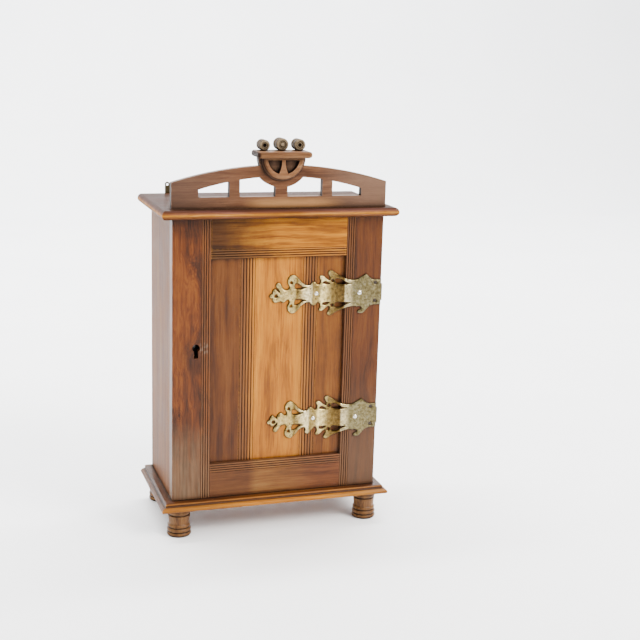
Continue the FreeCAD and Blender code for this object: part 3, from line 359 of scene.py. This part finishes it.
def right_stile_tint(look, colour):
    """Right stile, paler and greyer near its foot."""
    z = look.inside("right_stile")[2]
    return look.mix(colour, (0.078, 0.045, 0.025), look.between(z, 0.187, 0.027, 0.0, 0.50))


def bottom_rail_tint(look, colour):
    """Lower rail: grey-brown left end, golden patch under the middle of the panel."""
    x = look.inside("bottom_rail")[0]
    left = look.between(x, 0.096, 0.071)
    gold = look.region((x, 0.074, 0.090), (x, 0.186, 0.106))
    colour = look.stain(colour, (0.80, 0.95, 1.10), look.math("MULTIPLY", left, 0.8))
    return look.stain(colour, (1.9, 2.8, 3.2), look.math("MULTIPLY", gold, 0.75))


def plinth_tint(look, colour):
    """Base board by height: dark flat top, painted highlight on the bead, painted shade in the
    cove, painted highlight on the nose; darker towards the ends and painted shade on faces that
    look left.
    """
    x, _, z = look.inside("base_board")
    light_bands = look.along(z, ((0.0, (0.60, 0.52, 0.60)), (1.2, (0.95, 1.0, 1.2)),
                           (6.0, (0.95, 1.0, 1.2)), (6.8, (0.30, 0.27, 0.28)),
                           (9.0, (0.25, 0.22, 0.22)), (9.6, (0.72, 0.72, 0.85)),
                           (10.8, (0.72, 0.72, 0.85)), (11.4, (0.28, 0.24, 0.22)),
                           (12.0, (0.28, 0.24, 0.22))))
    ends = look.math("ABSOLUTE", look.total((x, 1.0), (1.0, -0.177)))
    colour = look.stain(colour, light_bands, 1.0)
    colour = look.stain(colour, (0.50, 0.46, 0.60), look.between(ends, 0.03, 0.14, 0.0, 0.85))
    # Painted shade on the faces that look left, away from the light.
    side = look.facing()[0]
    return look.stain(colour, (0.42, 0.36, 0.42), look.between(side, -0.2, -0.6))


def cornice_tint(look, colour):
    """Top board: painted highlight along the middle of the nose with painted shade at its upper and
    lower edges, and a dull dark top face.
    """
    z = look.inside("top_board")[2]
    # Painted highlight and painted shade across the nose, by height.
    light_bands = look.along(z, ((0.0, (0.08, 0.07, 0.20)), (1.6, (0.20, 0.18, 0.40)),
                           (4.0, (0.40, 0.43, 1.00)), (6.2, (0.98, 1.15, 1.00)),
                           (8.2, (0.40, 0.40, 1.00)), (10.6, (0.13, 0.11, 0.40)),
                           (12.4, (0.09, 0.08, 0.20))))
    return look.stain(colour, light_bands, 1.0)


def crest_tint(look, colour):
    """Crest board: darker to its left, greyer to its right, golden low in the middle."""
    x, _, z = look.inside("crest_board")
    cloud = look.noise(look.stretched((0.3, 1, 1)), 26, 3, 0.6)
    colour = look.mix(colour, (0.050, 0.031, 0.024), look.between(x, 0.130, 0.002, 0.0, 0.62))
    colour = look.mix(colour, (0.112, 0.070, 0.050), look.between(x, 0.182, 0.272, 0.0, 0.60))
    gold = look.region((x, 0.092, 0.132), (x, 0.252, 0.192),
                       (look.total((z, 1.0), (cloud, 0.012)), 0.024, 0.012))
    colour = look.mix(colour, (0.340, 0.170, 0.065), look.math("MULTIPLY", gold, 0.75))
    return left_face_shade(look, colour)


def left_face_shade(look, colour):
    """Painted shade on the sawn edges and faces that look to the left, away from the light."""
    side = look.facing()[0]
    return look.stain(colour, (0.16, 0.12, 0.11), look.between(side, -0.25, -0.75))


def boss_tint(look, colour):
    """Boss: painted shade, grey-brown, in its pockets and towards its back, and on faces that look
    left.
    """
    depth = look.inside("crest_boss")[1]
    # Painted shade: the deeper surfaces of the boss darken.
    colour = look.mix(colour, (0.024, 0.018, 0.017), look.between(depth, 0.0030, 0.0052, 0.0, 0.60))
    return left_face_shade(look, colour)


def roller_tint(look, colour):
    """Rollers: darker round their sides than on their ends."""
    ahead = look.math("ABSOLUTE", look.facing()[1])
    return look.stain(colour, (0.36, 0.30, 0.28), look.between(ahead, 0.80, 0.35))


# ---------------------------------------------------------------- metal
def metal(name, tones, seed, rough=0.34, pits=0.6, tarnish=0.6, shine=1.0, patina_and_light=None):
    """Cast metal: clouds of tone, pits and speckles, dirt in the hollows, rubbed edges."""
    look = Look(name)
    shift = (seed * 0.93, seed * 1.61, seed * 0.37)
    even = look.stretched((1, 1, 1), shift)
    cloud = look.noise(even, 70, 5, 0.62, 0.6)
    grain = look.noise(even, 420, 4, 0.65)
    flecks = 0.55 if patina_and_light else 0.15
    mottle = look.total((cloud, 0.45), (grain, flecks), (1.0, 0.275 - 0.5 * flecks))
    colour = look.ramp(mottle, ((0.30, tones[0]), (0.52, tones[1]), (0.72, tones[2])))
    if patina_and_light:
        colour = patina_and_light(look, colour)
    fine = look.between(look.spots(even, 330), 0.32, 0.16)
    coarse = look.between(look.total((look.spots(even, 150), 1.0), (grain, 0.25)), 0.40, 0.24)
    fine = look.math("MULTIPLY", fine, look.between(cloud, 0.44, 0.58))
    patches = look.between(look.noise(even, 34, 2), 0.50, 0.60)
    holes = look.math("MAXIMUM", fine, look.math("MULTIPLY", coarse, patches))
    hollow = look.between(look.occlusion(0.004), 0.95, 0.35)
    dark = tuple(0.16 * channel for channel in tones[0])
    colour = look.mix(colour, dark, look.math("MULTIPLY", holes, pits))
    colour = look.mix(colour, dark, look.math("MULTIPLY", hollow, tarnish))
    edges = look.between(look.occlusion(0.0012, True), 0.85, 0.30)
    colour = look.mix(colour, tones[2], look.math("MULTIPLY", edges, 0.0 if patina_and_light else 0.6))
    roughness = look.total((cloud, 0.20), (grain, 0.16), (holes, 0.25), (hollow, 0.20),
                           (1.0, rough - 0.16))
    relief = look.total((grain, 0.6), (holes, -1.0), (cloud, 0.8))
    return look.finish(Base_Color=colour, Metallic=shine, Roughness=roughness,
                       Normal=look.bump(relief, 0.40 * MM))


# Tone of the brass by distance from the strap's left tip in mm: patina with painted highlights and
# painted shade where the relief turns towards or away from the light.
STRAP_LIGHT_AND_PATINA = (
    (-7, (0.66, 0.61, 0.44)), (35, (0.60, 0.54, 0.36)), (40, (0.20, 0.15, 0.07)),
    (45, (0.52, 0.46, 0.33)), (53, (0.90, 0.90, 0.85)), (61, (1.0, 1.0, 1.0)),
    (63, (0.36, 0.31, 0.20)), (71, (0.40, 0.34, 0.20)), (76, (0.98, 0.94, 0.72)),
    (82, (0.80, 0.74, 0.52)), (91, (0.24, 0.19, 0.11)), (107, (0.165, 0.115, 0.06)),
    (109, (0.62, 0.61, 0.58)), (116, (0.55, 0.55, 0.53)), (122, (0.24, 0.24, 0.21)),
    (165, (0.20, 0.195, 0.17)))


def strap_light_and_patina(look, colour):
    """Brass toned along the strap with patina, painted highlights and painted shade, dirt and
    painted shade on the rims, and a greyer, speckled hinge plate.
    """
    x = look.inside("hinge_strap_upper")[0]
    colour = look.stain(colour, look.along(x, STRAP_LIGHT_AND_PATINA), 1.0)
    stains = look.ramp(look.noise(look.here, 240, 3, 0.7),
                       ((0.36, (0.42, 0.40, 0.36)), (0.60, (1.0, 1.0, 1.0))))
    colour = look.stain(colour, stains, 0.9)
    # Dirt and painted shade on the rims that turn away from the front.
    turned = look.math("ABSOLUTE", look.facing()[1])
    return look.stain(colour, (0.16, 0.12, 0.06), look.between(turned, 0.88, 0.50, 0.0, 0.92))


BRASS = ((0.20, 0.130, 0.040), (0.42, 0.335, 0.150), (0.70, 0.630, 0.430))
CAST = ((0.42, 0.310, 0.120), (0.74, 0.620, 0.345), (0.97, 0.905, 0.690))
STEEL = ((0.30, 0.29, 0.27), (0.52, 0.51, 0.48), (0.78, 0.77, 0.74))
IRON = ((0.035, 0.034, 0.034), (0.075, 0.072, 0.070), (0.180, 0.175, 0.170))


# ---------------------------------------------------------------- dressing the CAD nodes
def dress(names, material):
    """Gives the named CAD nodes one material."""
    for name in names:
        for slot in nodes[name].material_slots:
            slot.material = material


DULL = shade(REDDISH, 0.74, 0.80, 0.9)
WORN = shade(BROWN, 1.28, 1.75, 3.6)

# Node, grain, tones, seed and what differs from a plain board.
BOARDS = (
    ("left_stile", "z", REDDISH, 1.0,
     dict(figure=62, contrast=1.25, grime_and_shade=0.85, rough=0.36, tint=stile_tint, bend=0.055,
          reeded=True)),
    ("right_stile", "z", DULL, 2.0,
     dict(figure=90, contrast=0.8, grime_and_shade=0.7, wear=0.4, rough=0.40, tint=right_stile_tint,
          reeded=True)),
    ("top_rail", "x", shade(GOLDEN, 0.86, 0.86, 0.6), 3.0,
     dict(figure=110, contrast=1.1, grime_and_shade=0.8, wear=0.4, rough=0.34, tint=smoke_tint, polish=0.12,
          reeded=True)),
    ("bottom_rail", "x", shade(REDDISH, 0.9, 1.03, 3.0), 4.0,
     dict(figure=90, contrast=0.8, grime_and_shade=0.7, wear=0.4, rough=0.40, tint=bottom_rail_tint,
          reeded=True)),
    # The panel's stronger edge wear also pales its reed crests as a painted highlight.
    ("door_panel", "z", GOLDEN, 5.0,
     dict(figure=95, contrast=0.8, grime_and_shade=0.7, wear=0.60, rough=0.36, tint=panel_tint, reeded=True)),
    ("left_side", "z", shade(BROWN, 1.15, 1.08, 0.95), 6.0,
     dict(figure=70, contrast=0.7, grime_and_shade=0.7, wear=0.4, rough=0.44, polish=0.055)),
    ("right_side", "z", REDDISH, 7.0,
     dict(figure=70, contrast=0.9, grime_and_shade=0.7, wear=0.4, rough=0.42)),
    ("base_board", "x", GOLDEN, 8.0,
     dict(figure=80, contrast=0.8, grime_and_shade=0.8, wear=0.75, rough=0.36, tint=plinth_tint)),
    ("top_board", "x", shade(GOLDEN, 1.0, 1.0, 6.0), 9.0,
     dict(figure=80, contrast=0.8, grime_and_shade=0.85, wear=0.6, rough=0.46, tint=cornice_tint,
          polish=0.03)),
    ("crest_board", "x", shade(BROWN, 1.0, 1.12, 2.0), 10.0,
     dict(figure=85, contrast=0.9, grime_and_shade=0.7, rough=0.46, tint=crest_tint, polish=0.10)),
    ("crest_boss", "x", shade(WORN, 1.15, 1.05, 0.9), 11.0,
     dict(figure=90, contrast=0.8, grime_and_shade=0.9, wear=0.7, rough=0.40, tint=boss_tint, polish=0.06)),
    ("crest_shelf", "x", shade(WORN, 0.80, 0.72, 0.60), 12.0,
     dict(figure=90, contrast=0.9, grime_and_shade=0.8, wear=0.8, rough=0.44, tint=left_face_shade, polish=0.03)),
    ("back_panel", "z", shade(RAW, 0.55, 0.47, 0.40), 13.0,
     dict(figure=60, grime_and_shade=0.7, wear=0.2, rough=0.62)),
    ("carcass_dowels", "z", RAW, 17.0, dict(figure=120)),
)
for name, grain, tones, seed, settings in BOARDS:
    dress([name], wood(f"{name}_wood", grain, tones, seed, **settings))
for index, where in enumerate(("lower", "middle", "upper")):
    dress([f"key_rail_{where}"],
          wood(f"key_rail_{where}_wood", "x", BROWN, 14.0 + index, figure=90, contrast=0.8,
               grime_and_shade=0.7, wear=0.4, rough=0.45))
for index, where in enumerate(("front_left", "front_right", "back_left", "back_right")):
    dress([f"foot_{where}"],
          wood(f"foot_{where}_wood", "z", shade(BROWN, 1.15, 1.35, 1.5), 20.0 + index, figure=110,
               contrast=0.9, grime_and_shade=0.85, wear=0.6, rough=0.36))
for index, where in enumerate(("left", "middle", "right")):
    dress([f"crest_roller_{where}"],
          wood(f"crest_roller_{where}_wood", "y", shade(RAW, 1.15, 1.15, 1.15), 30.0 + index,
               figure=160, contrast=0.8, grime_and_shade=0.95, rough=0.5, tint=roller_tint, polish=0.05))

dress(["hinge_leaf_upper", "hinge_leaf_lower", "key_hooks_lower", "key_hooks_middle",
       "key_hooks_upper"], metal("cast_brass", BRASS, 1.0))
dress(["hanger_left", "hanger_right"],
      metal("hanger_brass", shade(BRASS, 0.22, 0.22, 0.28), 7.0, rough=0.55))
dress(["hinge_pin_upper", "hinge_pin_lower", "lock_bolt", "lock_lever", "lever_post", "lock_spring",
       "keeper_plate"], metal("worn_steel", STEEL, 2.0, rough=0.24, pits=0.3, tarnish=0.5))
dress(["lock_plate", "lock_case", "carcass_screws", "crest_screws", "hanger_screws", "rail_screws",
       "keeper_screws", "leaf_screws", "lock_screws", "back_pins", "roller_pins", "lock_key_pin"],
      metal("dark_iron", IRON, 3.0, rough=0.45, pits=0.3, tarnish=0.7))
# Strap screw heads darkened nearly black as painted shade of the holes they sit in.
dress(["strap_screws"],
      metal("hole_shade_screws", shade(IRON, 0.30, 0.22, 0.16), 5.0, rough=0.70, pits=0.3,
            tarnish=0.9, shine=0.2))
dress(["strap_rivets_upper", "strap_rivets_lower"],
      metal("rubbed_rivets", shade(STEEL, 1.2, 1.2, 1.18), 6.0, rough=0.22, pits=0.15, tarnish=0.9))


# ---------------------------------------------------------------- straps with relief
SCREWS_FROM = 100.0 * MM


def front_segments(mesh, deepest):
    """Boundary of the front of a strap, seen from the front, as an array of (x, z) segments.

    Right of SCREWS_FROM, faces behind `deepest` are screw seats and don't count.
    """
    tally = {}
    for face in mesh.polygons:
        if face.normal.y > -0.3:
            continue
        points = [mesh.vertices[index].co for index in face.vertices]
        farthest = max(point.x for point in points)
        if farthest > SCREWS_FROM and max(point.y for point in points) > deepest:
            continue
        keys = [(round(point.x, 6), round(point.z, 6)) for point in points]
        for start, end in zip(keys, keys[1:] + keys[:1]):
            if start != end:
                edge = (min(start, end), max(start, end))
                tally[edge] = tally.get(edge, 0) + 1
    return np.array([edge for edge, count in tally.items() if count == 1])


def distances(points, segments):
    """Distance from each point to the nearest segment."""
    start, end = segments[:, 0], segments[:, 1]
    along = end - start
    length = np.maximum((along ** 2).sum(axis=1), 1e-18)
    nearest = np.full(len(points), 1.0)
    for low in range(0, len(points), 2000):
        chunk = points[low:low + 2000, None, :]
        share = np.clip(((chunk - start) * along).sum(axis=2) / length, 0, 1)
        gap = chunk - (start + share[..., None] * along)
        nearest[low:low + 2000] = np.sqrt((gap ** 2).sum(axis=2)).min(axis=1)
    return nearest


def is_inside(points, segments):
    """Even-odd test of points against closed loops given as segments."""
    inside = np.zeros(len(points), bool)
    for (x0, z0), (x1, z1) in segments:
        crosses = (z0 > points[:, 1]) != (z1 > points[:, 1])
        if z1 != z0:
            inside ^= crosses & (points[:, 0] < (x1 - x0) * (points[:, 1] - z0) / (z1 - z0) + x0)
    return inside


# Height of the relief over the CAD surface, by distance from the left tip, both in mm.
RELIEF = ((-1, 0.3), (7, 0.8), (17, 1.0), (25, 0.6), (33, 0.1), (38, 0.5), (45, 2.1), (53, 1.2),
          (60.5, -0.5), (63, 0.6), (69, 1.0), (73, 1.1), (79, 0.2), (84, -0.5), (91, 0.2),
          (99, 0.4), (108, 0.9), (112, 0.6), (119, -0.4), (124, 0.3), (131, 0.6), (139, 0.2),
          (147, 0.0), (169, 0.0))
ROUNDING = 2.8 * MM
PILLOW = 1.6 * MM


def smooth_steps(places, values, at):
    """Cosine interpolation through points."""
    place = np.clip(np.searchsorted(places, at) - 1, 0, len(places) - 2)
    share = np.clip((at - places[place]) / (places[place + 1] - places[place]), 0, 1)
    share = 0.5 - 0.5 * np.cos(math.pi * share)
    return values[place] * (1 - share) + values[place + 1] * share


def surface(x, slope, levels):
    """Y of the plain strap at X: panel level, an easy slope, stile level."""
    share = np.clip((x - slope[0]) / (slope[1] - slope[0]), 0, 1)
    share = share * share * (3 - 2 * share)
    return levels[0] * (1 - share) + levels[1] * share


def grid_points(segments, pitch):
    """Hexagonal grid inside the outline, a little away from its edge."""
    corners = segments.reshape(-1, 2)
    low, high = corners.min(axis=0), corners.max(axis=0)
    rows = np.arange(low[1], high[1], pitch * math.sqrt(3) / 2)
    points = []
    for index, z in enumerate(rows):
        xs = np.arange(low[0] + (index % 2) * pitch / 2, high[0], pitch)
        points.append(np.column_stack((xs, np.full(len(xs), z))))
    points = np.concatenate(points)
    points = points[is_inside(points, segments)]
    return points[distances(points, segments) > 0.45 * pitch]


def triangulated(segments, pitch):
    """Points and faces of a fine triangle mesh inside the outline."""
    border = np.unique(segments.reshape(-1, 2), axis=0)
    points = np.concatenate((border, grid_points(segments, pitch)))
    links = {tuple(point): place for place, point in enumerate(border)}
    edges = [(links[tuple(start)], links[tuple(end)]) for start, end in segments]
    flat, _, faces, _, _, _ = geometry.delaunay_2d_cdt(
        [Vector(point) for point in points], edges, [], 0, 1e-7)
    flat = np.array([tuple(point) for point in flat])
    middles = np.array([flat[list(face)].mean(axis=0) for face in faces])
    return flat, [face for face, good in zip(faces, is_inside(middles, segments)) if good]


def relief_depths(flat, segments, tip, middle, slope, levels):
    """Y of the front and of the back of a strap at each point."""
    reach = np.clip(distances(flat, segments) / ROUNDING, 0, 1)
    pillow = PILLOW * np.sqrt(1 - (1 - reach) ** 2)
    places = np.array([place for place, _ in RELIEF]) * MM
    heights = np.array([height for _, height in RELIEF]) * MM
    swell = smooth_steps(places, heights, flat[:, 0] - tip)
    swell *= np.clip(1.25 - np.abs(flat[:, 1] - middle) / (16 * MM), 0.25, 1)
    front = surface(flat[:, 0], slope, levels) + 1.0 * MM - pillow - swell * (0.35 + 0.65 * reach)
    return front, surface(flat[:, 0], slope, [level + 1.9 * MM for level in levels])


def closed_plate(flat, faces, front, back):
    """Mesh with a front, a back and a rim that joins them."""
    shape = bmesh.new()
    fronts = [shape.verts.new((x, y, z)) for (x, z), y in zip(flat, front)]
    backs = [shape.verts.new((x, y, z)) for (x, z), y in zip(flat, back)]
    for face in faces:
        shape.faces.new([fronts[index] for index in face])
        shape.faces.new([backs[index] for index in reversed(face)])
    shape.normal_update()
    order = {vert: place for place, vert in enumerate(fronts)}
    rims = [edge for edge in shape.edges if len(edge.link_faces) == 1 and edge.verts[0] in order]
    for edge in rims:
        first, second = (order[vert] for vert in edge.verts)
        shape.faces.new((fronts[first], fronts[second], backs[second], backs[first]))
    loose = [vert for vert in shape.verts if not vert.link_faces]
    bmesh.ops.delete(shape, geom=loose, context="VERTS")
    bmesh.ops.recalc_face_normals(shape, faces=shape.faces)
    return shape


def cast_strap(where, material):
    """Cast strap with rounded edges and swelling relief, built on the outline of its CAD node."""
    name = f"hinge_strap_{where}"
    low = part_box(name)[0]
    levels = (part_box("door_panel")[0].y - 2.0 * MM, low.y)
    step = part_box("right_stile")[0].x - 0.6 * MM
    slope = (step - 14.0 * MM, step)
    pin_low, pin_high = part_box(f"hinge_pin_{where}")
    segments = front_segments(nodes[name].data, low.y + 0.1 * MM)
    flat, faces = triangulated(segments, 0.8 * MM)
    front, back = relief_depths(flat, segments, low.x, (pin_low.z + pin_high.z) / 2, slope, levels)
    shape = closed_plate(flat, faces, front, back)
    flange_and_knuckles(shape, where, low.y)
    for face in shape.faces:
        face.smooth = True
    data = bpy.data.meshes.new(f"relief_{where}")
    shape.to_mesh(data)
    data.set_sharp_from_angle(angle=math.radians(50))
    data.materials.append(material)
    strap = bpy.data.objects.new(f"cast_strap_{where}", data)
    bpy.context.scene.collection.objects.link(strap)
    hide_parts(name)
    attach(strap, "door")


def flange_and_knuckles(shape, where, front):
    """Turned-in edge of a strap and the two knuckles at its ends."""
    pin_low, pin_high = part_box(f"hinge_pin_{where}")
    axis = (pin_low + pin_high) / 2
    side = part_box("right_side")[1].x
    half = 12.0 * MM
    for start, end in ((-half, -half + 6.0 * MM), (half - 6.0 * MM, half)):
        turn = Matrix.Translation((axis.x, axis.y, axis.z + (start + end) / 2))
        made = bmesh.ops.create_cone(shape, cap_ends=True, segments=28, radius1=2.6 * MM,
                                     radius2=2.6 * MM, depth=end - start, matrix=turn)
        rims = {edge for vert in made["verts"] for edge in vert.link_edges
                if abs(edge.verts[0].co.z - edge.verts[1].co.z) < 1e-6}
        bmesh.ops.bevel(shape, geom=list(rims), offset=0.5 * MM, segments=2, affect="EDGES")
        block(shape, (side + 0.3 * MM, axis.y - 3.0 * MM, axis.z + start),
              (side + 1.9 * MM, axis.y, axis.z + end))
    block(shape, (side, front + 0.8 * MM, axis.z - half),
          (side + 1.6 * MM, axis.y - 2.8 * MM, axis.z + half))


def block(shape, low, high):
    """Bevelled block between two corners."""
    low, high = Vector(low), Vector(high)
    turn = Matrix.Translation((low + high) / 2) @ Matrix.Diagonal((*(high - low), 1.0))
    made = bmesh.ops.create_cube(shape, size=1.0, matrix=turn)
    edges = {edge for vert in made["verts"] for edge in vert.link_edges}
    bmesh.ops.bevel(shape, geom=list(edges), offset=0.35 * MM, segments=2, affect="EDGES")


strap_brass = metal("strap_brass", CAST, 4.0, rough=0.34, pits=0.80, tarnish=0.85,
                    patina_and_light=strap_light_and_patina)
for where in ("upper", "lower"):
    cast_strap(where, strap_brass)


# ---------------------------------------------------------------- stage, light and camera
def stage():
    """Pale floor that curves up into a pale wall."""
    profile = [(-4.0, 0.0), (3.0, 0.0)]
    profile += [(3.0 + math.sin(turn), 1.0 - math.cos(turn)) for turn in
                (math.radians(angle) for angle in range(10, 91, 10))]
    profile.append((4.0, 5.0))
    grid = bmesh.new()
    rows = [[grid.verts.new((x, y, z)) for x in (-6.0, 6.0)] for y, z in profile]
    for near, far in zip(rows, rows[1:]):
        grid.faces.new((near[0], near[1], far[1], far[0])).smooth = True
    data = bpy.data.meshes.new("backdrop")
    grid.to_mesh(data)
    backdrop = bpy.data.objects.new("backdrop", data)
    bpy.context.scene.collection.objects.link(backdrop)
    look = Look("pale_paper")
    cloud = look.noise(look.here, 3.0, 3)
    colour = look.ramp(cloud, ((0.3, (0.87, 0.90, 0.955)), (0.7, (0.90, 0.93, 0.985))))
    data.materials.append(look.finish(Base_Color=colour, Roughness=0.75,
                                      Normal=look.bump(look.noise(look.here, 400, 3), 0.0001)))


def area_light(name, place, aim, size, power, colour):
    lamp = bpy.data.lights.new(name, "AREA")
    lamp.shape = "RECTANGLE"
    lamp.size, lamp.size_y = size
    lamp.energy = power
    lamp.color = colour
    item = bpy.data.objects.new(name, lamp)
    item.location = place
    item.rotation_euler = (Vector(aim) - Vector(place)).to_track_quat("-Z", "Y").to_euler()
    bpy.context.scene.collection.objects.link(item)


def camera():
    """Camera at the photograph's viewing angle."""
    yaw, pitch, roll = (math.radians(angle) for angle in (18.47, -13.09, 1.685))
    forward = Vector((math.sin(yaw) * math.cos(pitch), math.cos(yaw) * math.cos(pitch),
                      math.sin(pitch)))
    level = Vector((math.cos(yaw), -math.sin(yaw), 0.0))
    upright = level.cross(forward)
    right = math.cos(roll) * level + math.sin(roll) * upright
    up = -math.sin(roll) * level + math.cos(roll) * upright
    lens = bpy.data.cameras.new("camera")
    lens.lens = 67.59
    lens.sensor_width = 36.0
    item = bpy.data.objects.new("camera", lens)
    turn = Matrix((right, up, -forward)).transposed()
    item.matrix_world = Matrix.Translation((-0.4610, -1.6378, 0.6858)) @ turn.to_4x4()
    bpy.context.scene.collection.objects.link(item)
    bpy.context.scene.camera = item


def sky():
    """Soft room light: bright overhead and to the right, dimmer at the front left."""
    world = bpy.data.worlds.new("soft_room")
    world.use_nodes = True
    tree = world.node_tree
    where = tree.nodes.new("ShaderNodeTexCoord").outputs["Generated"]
    parts = tree.nodes.new("ShaderNodeSeparateXYZ")
    tree.links.new(where, parts.inputs[0])
    strength = None
    for axis, low, high, gain in ((2, 0.20, 0.85, 2.7), (0, 0.10, 0.80, 0.5), (1, 0.0, 0.6, 1.0)):
        rise = tree.nodes.new("ShaderNodeMapRange")
        rise.interpolation_type = "SMOOTHSTEP"
        tree.links.new(parts.outputs[axis], rise.inputs["Value"])
        rise.inputs["From Min"].default_value = low
        rise.inputs["From Max"].default_value = high
        rise.inputs["To Max"].default_value = gain
        add = tree.nodes.new("ShaderNodeMath")
        tree.links.new(rise.outputs[0], add.inputs[0])
        if strength is None:
            add.inputs[1].default_value = 0.22
        else:
            tree.links.new(strength, add.inputs[1])
        strength = add.outputs[0]
    background = tree.nodes["Background"]
    background.inputs["Color"].default_value = (1.0, 0.965, 0.91, 1.0)
    tree.links.new(strength, background.inputs["Strength"])
    bpy.context.scene.world = world


stage()
area_light("key", (1.7, -1.9, 2.0), (0, 0, 0.25), (1.2, 1.2), 165, (1.0, 0.94, 0.86))
area_light("wash", (0.0, 0.9, 3.6), (0, 3.6, 1.2), (5.0, 1.0), 700, (1.0, 0.97, 0.92))
sky()
camera()
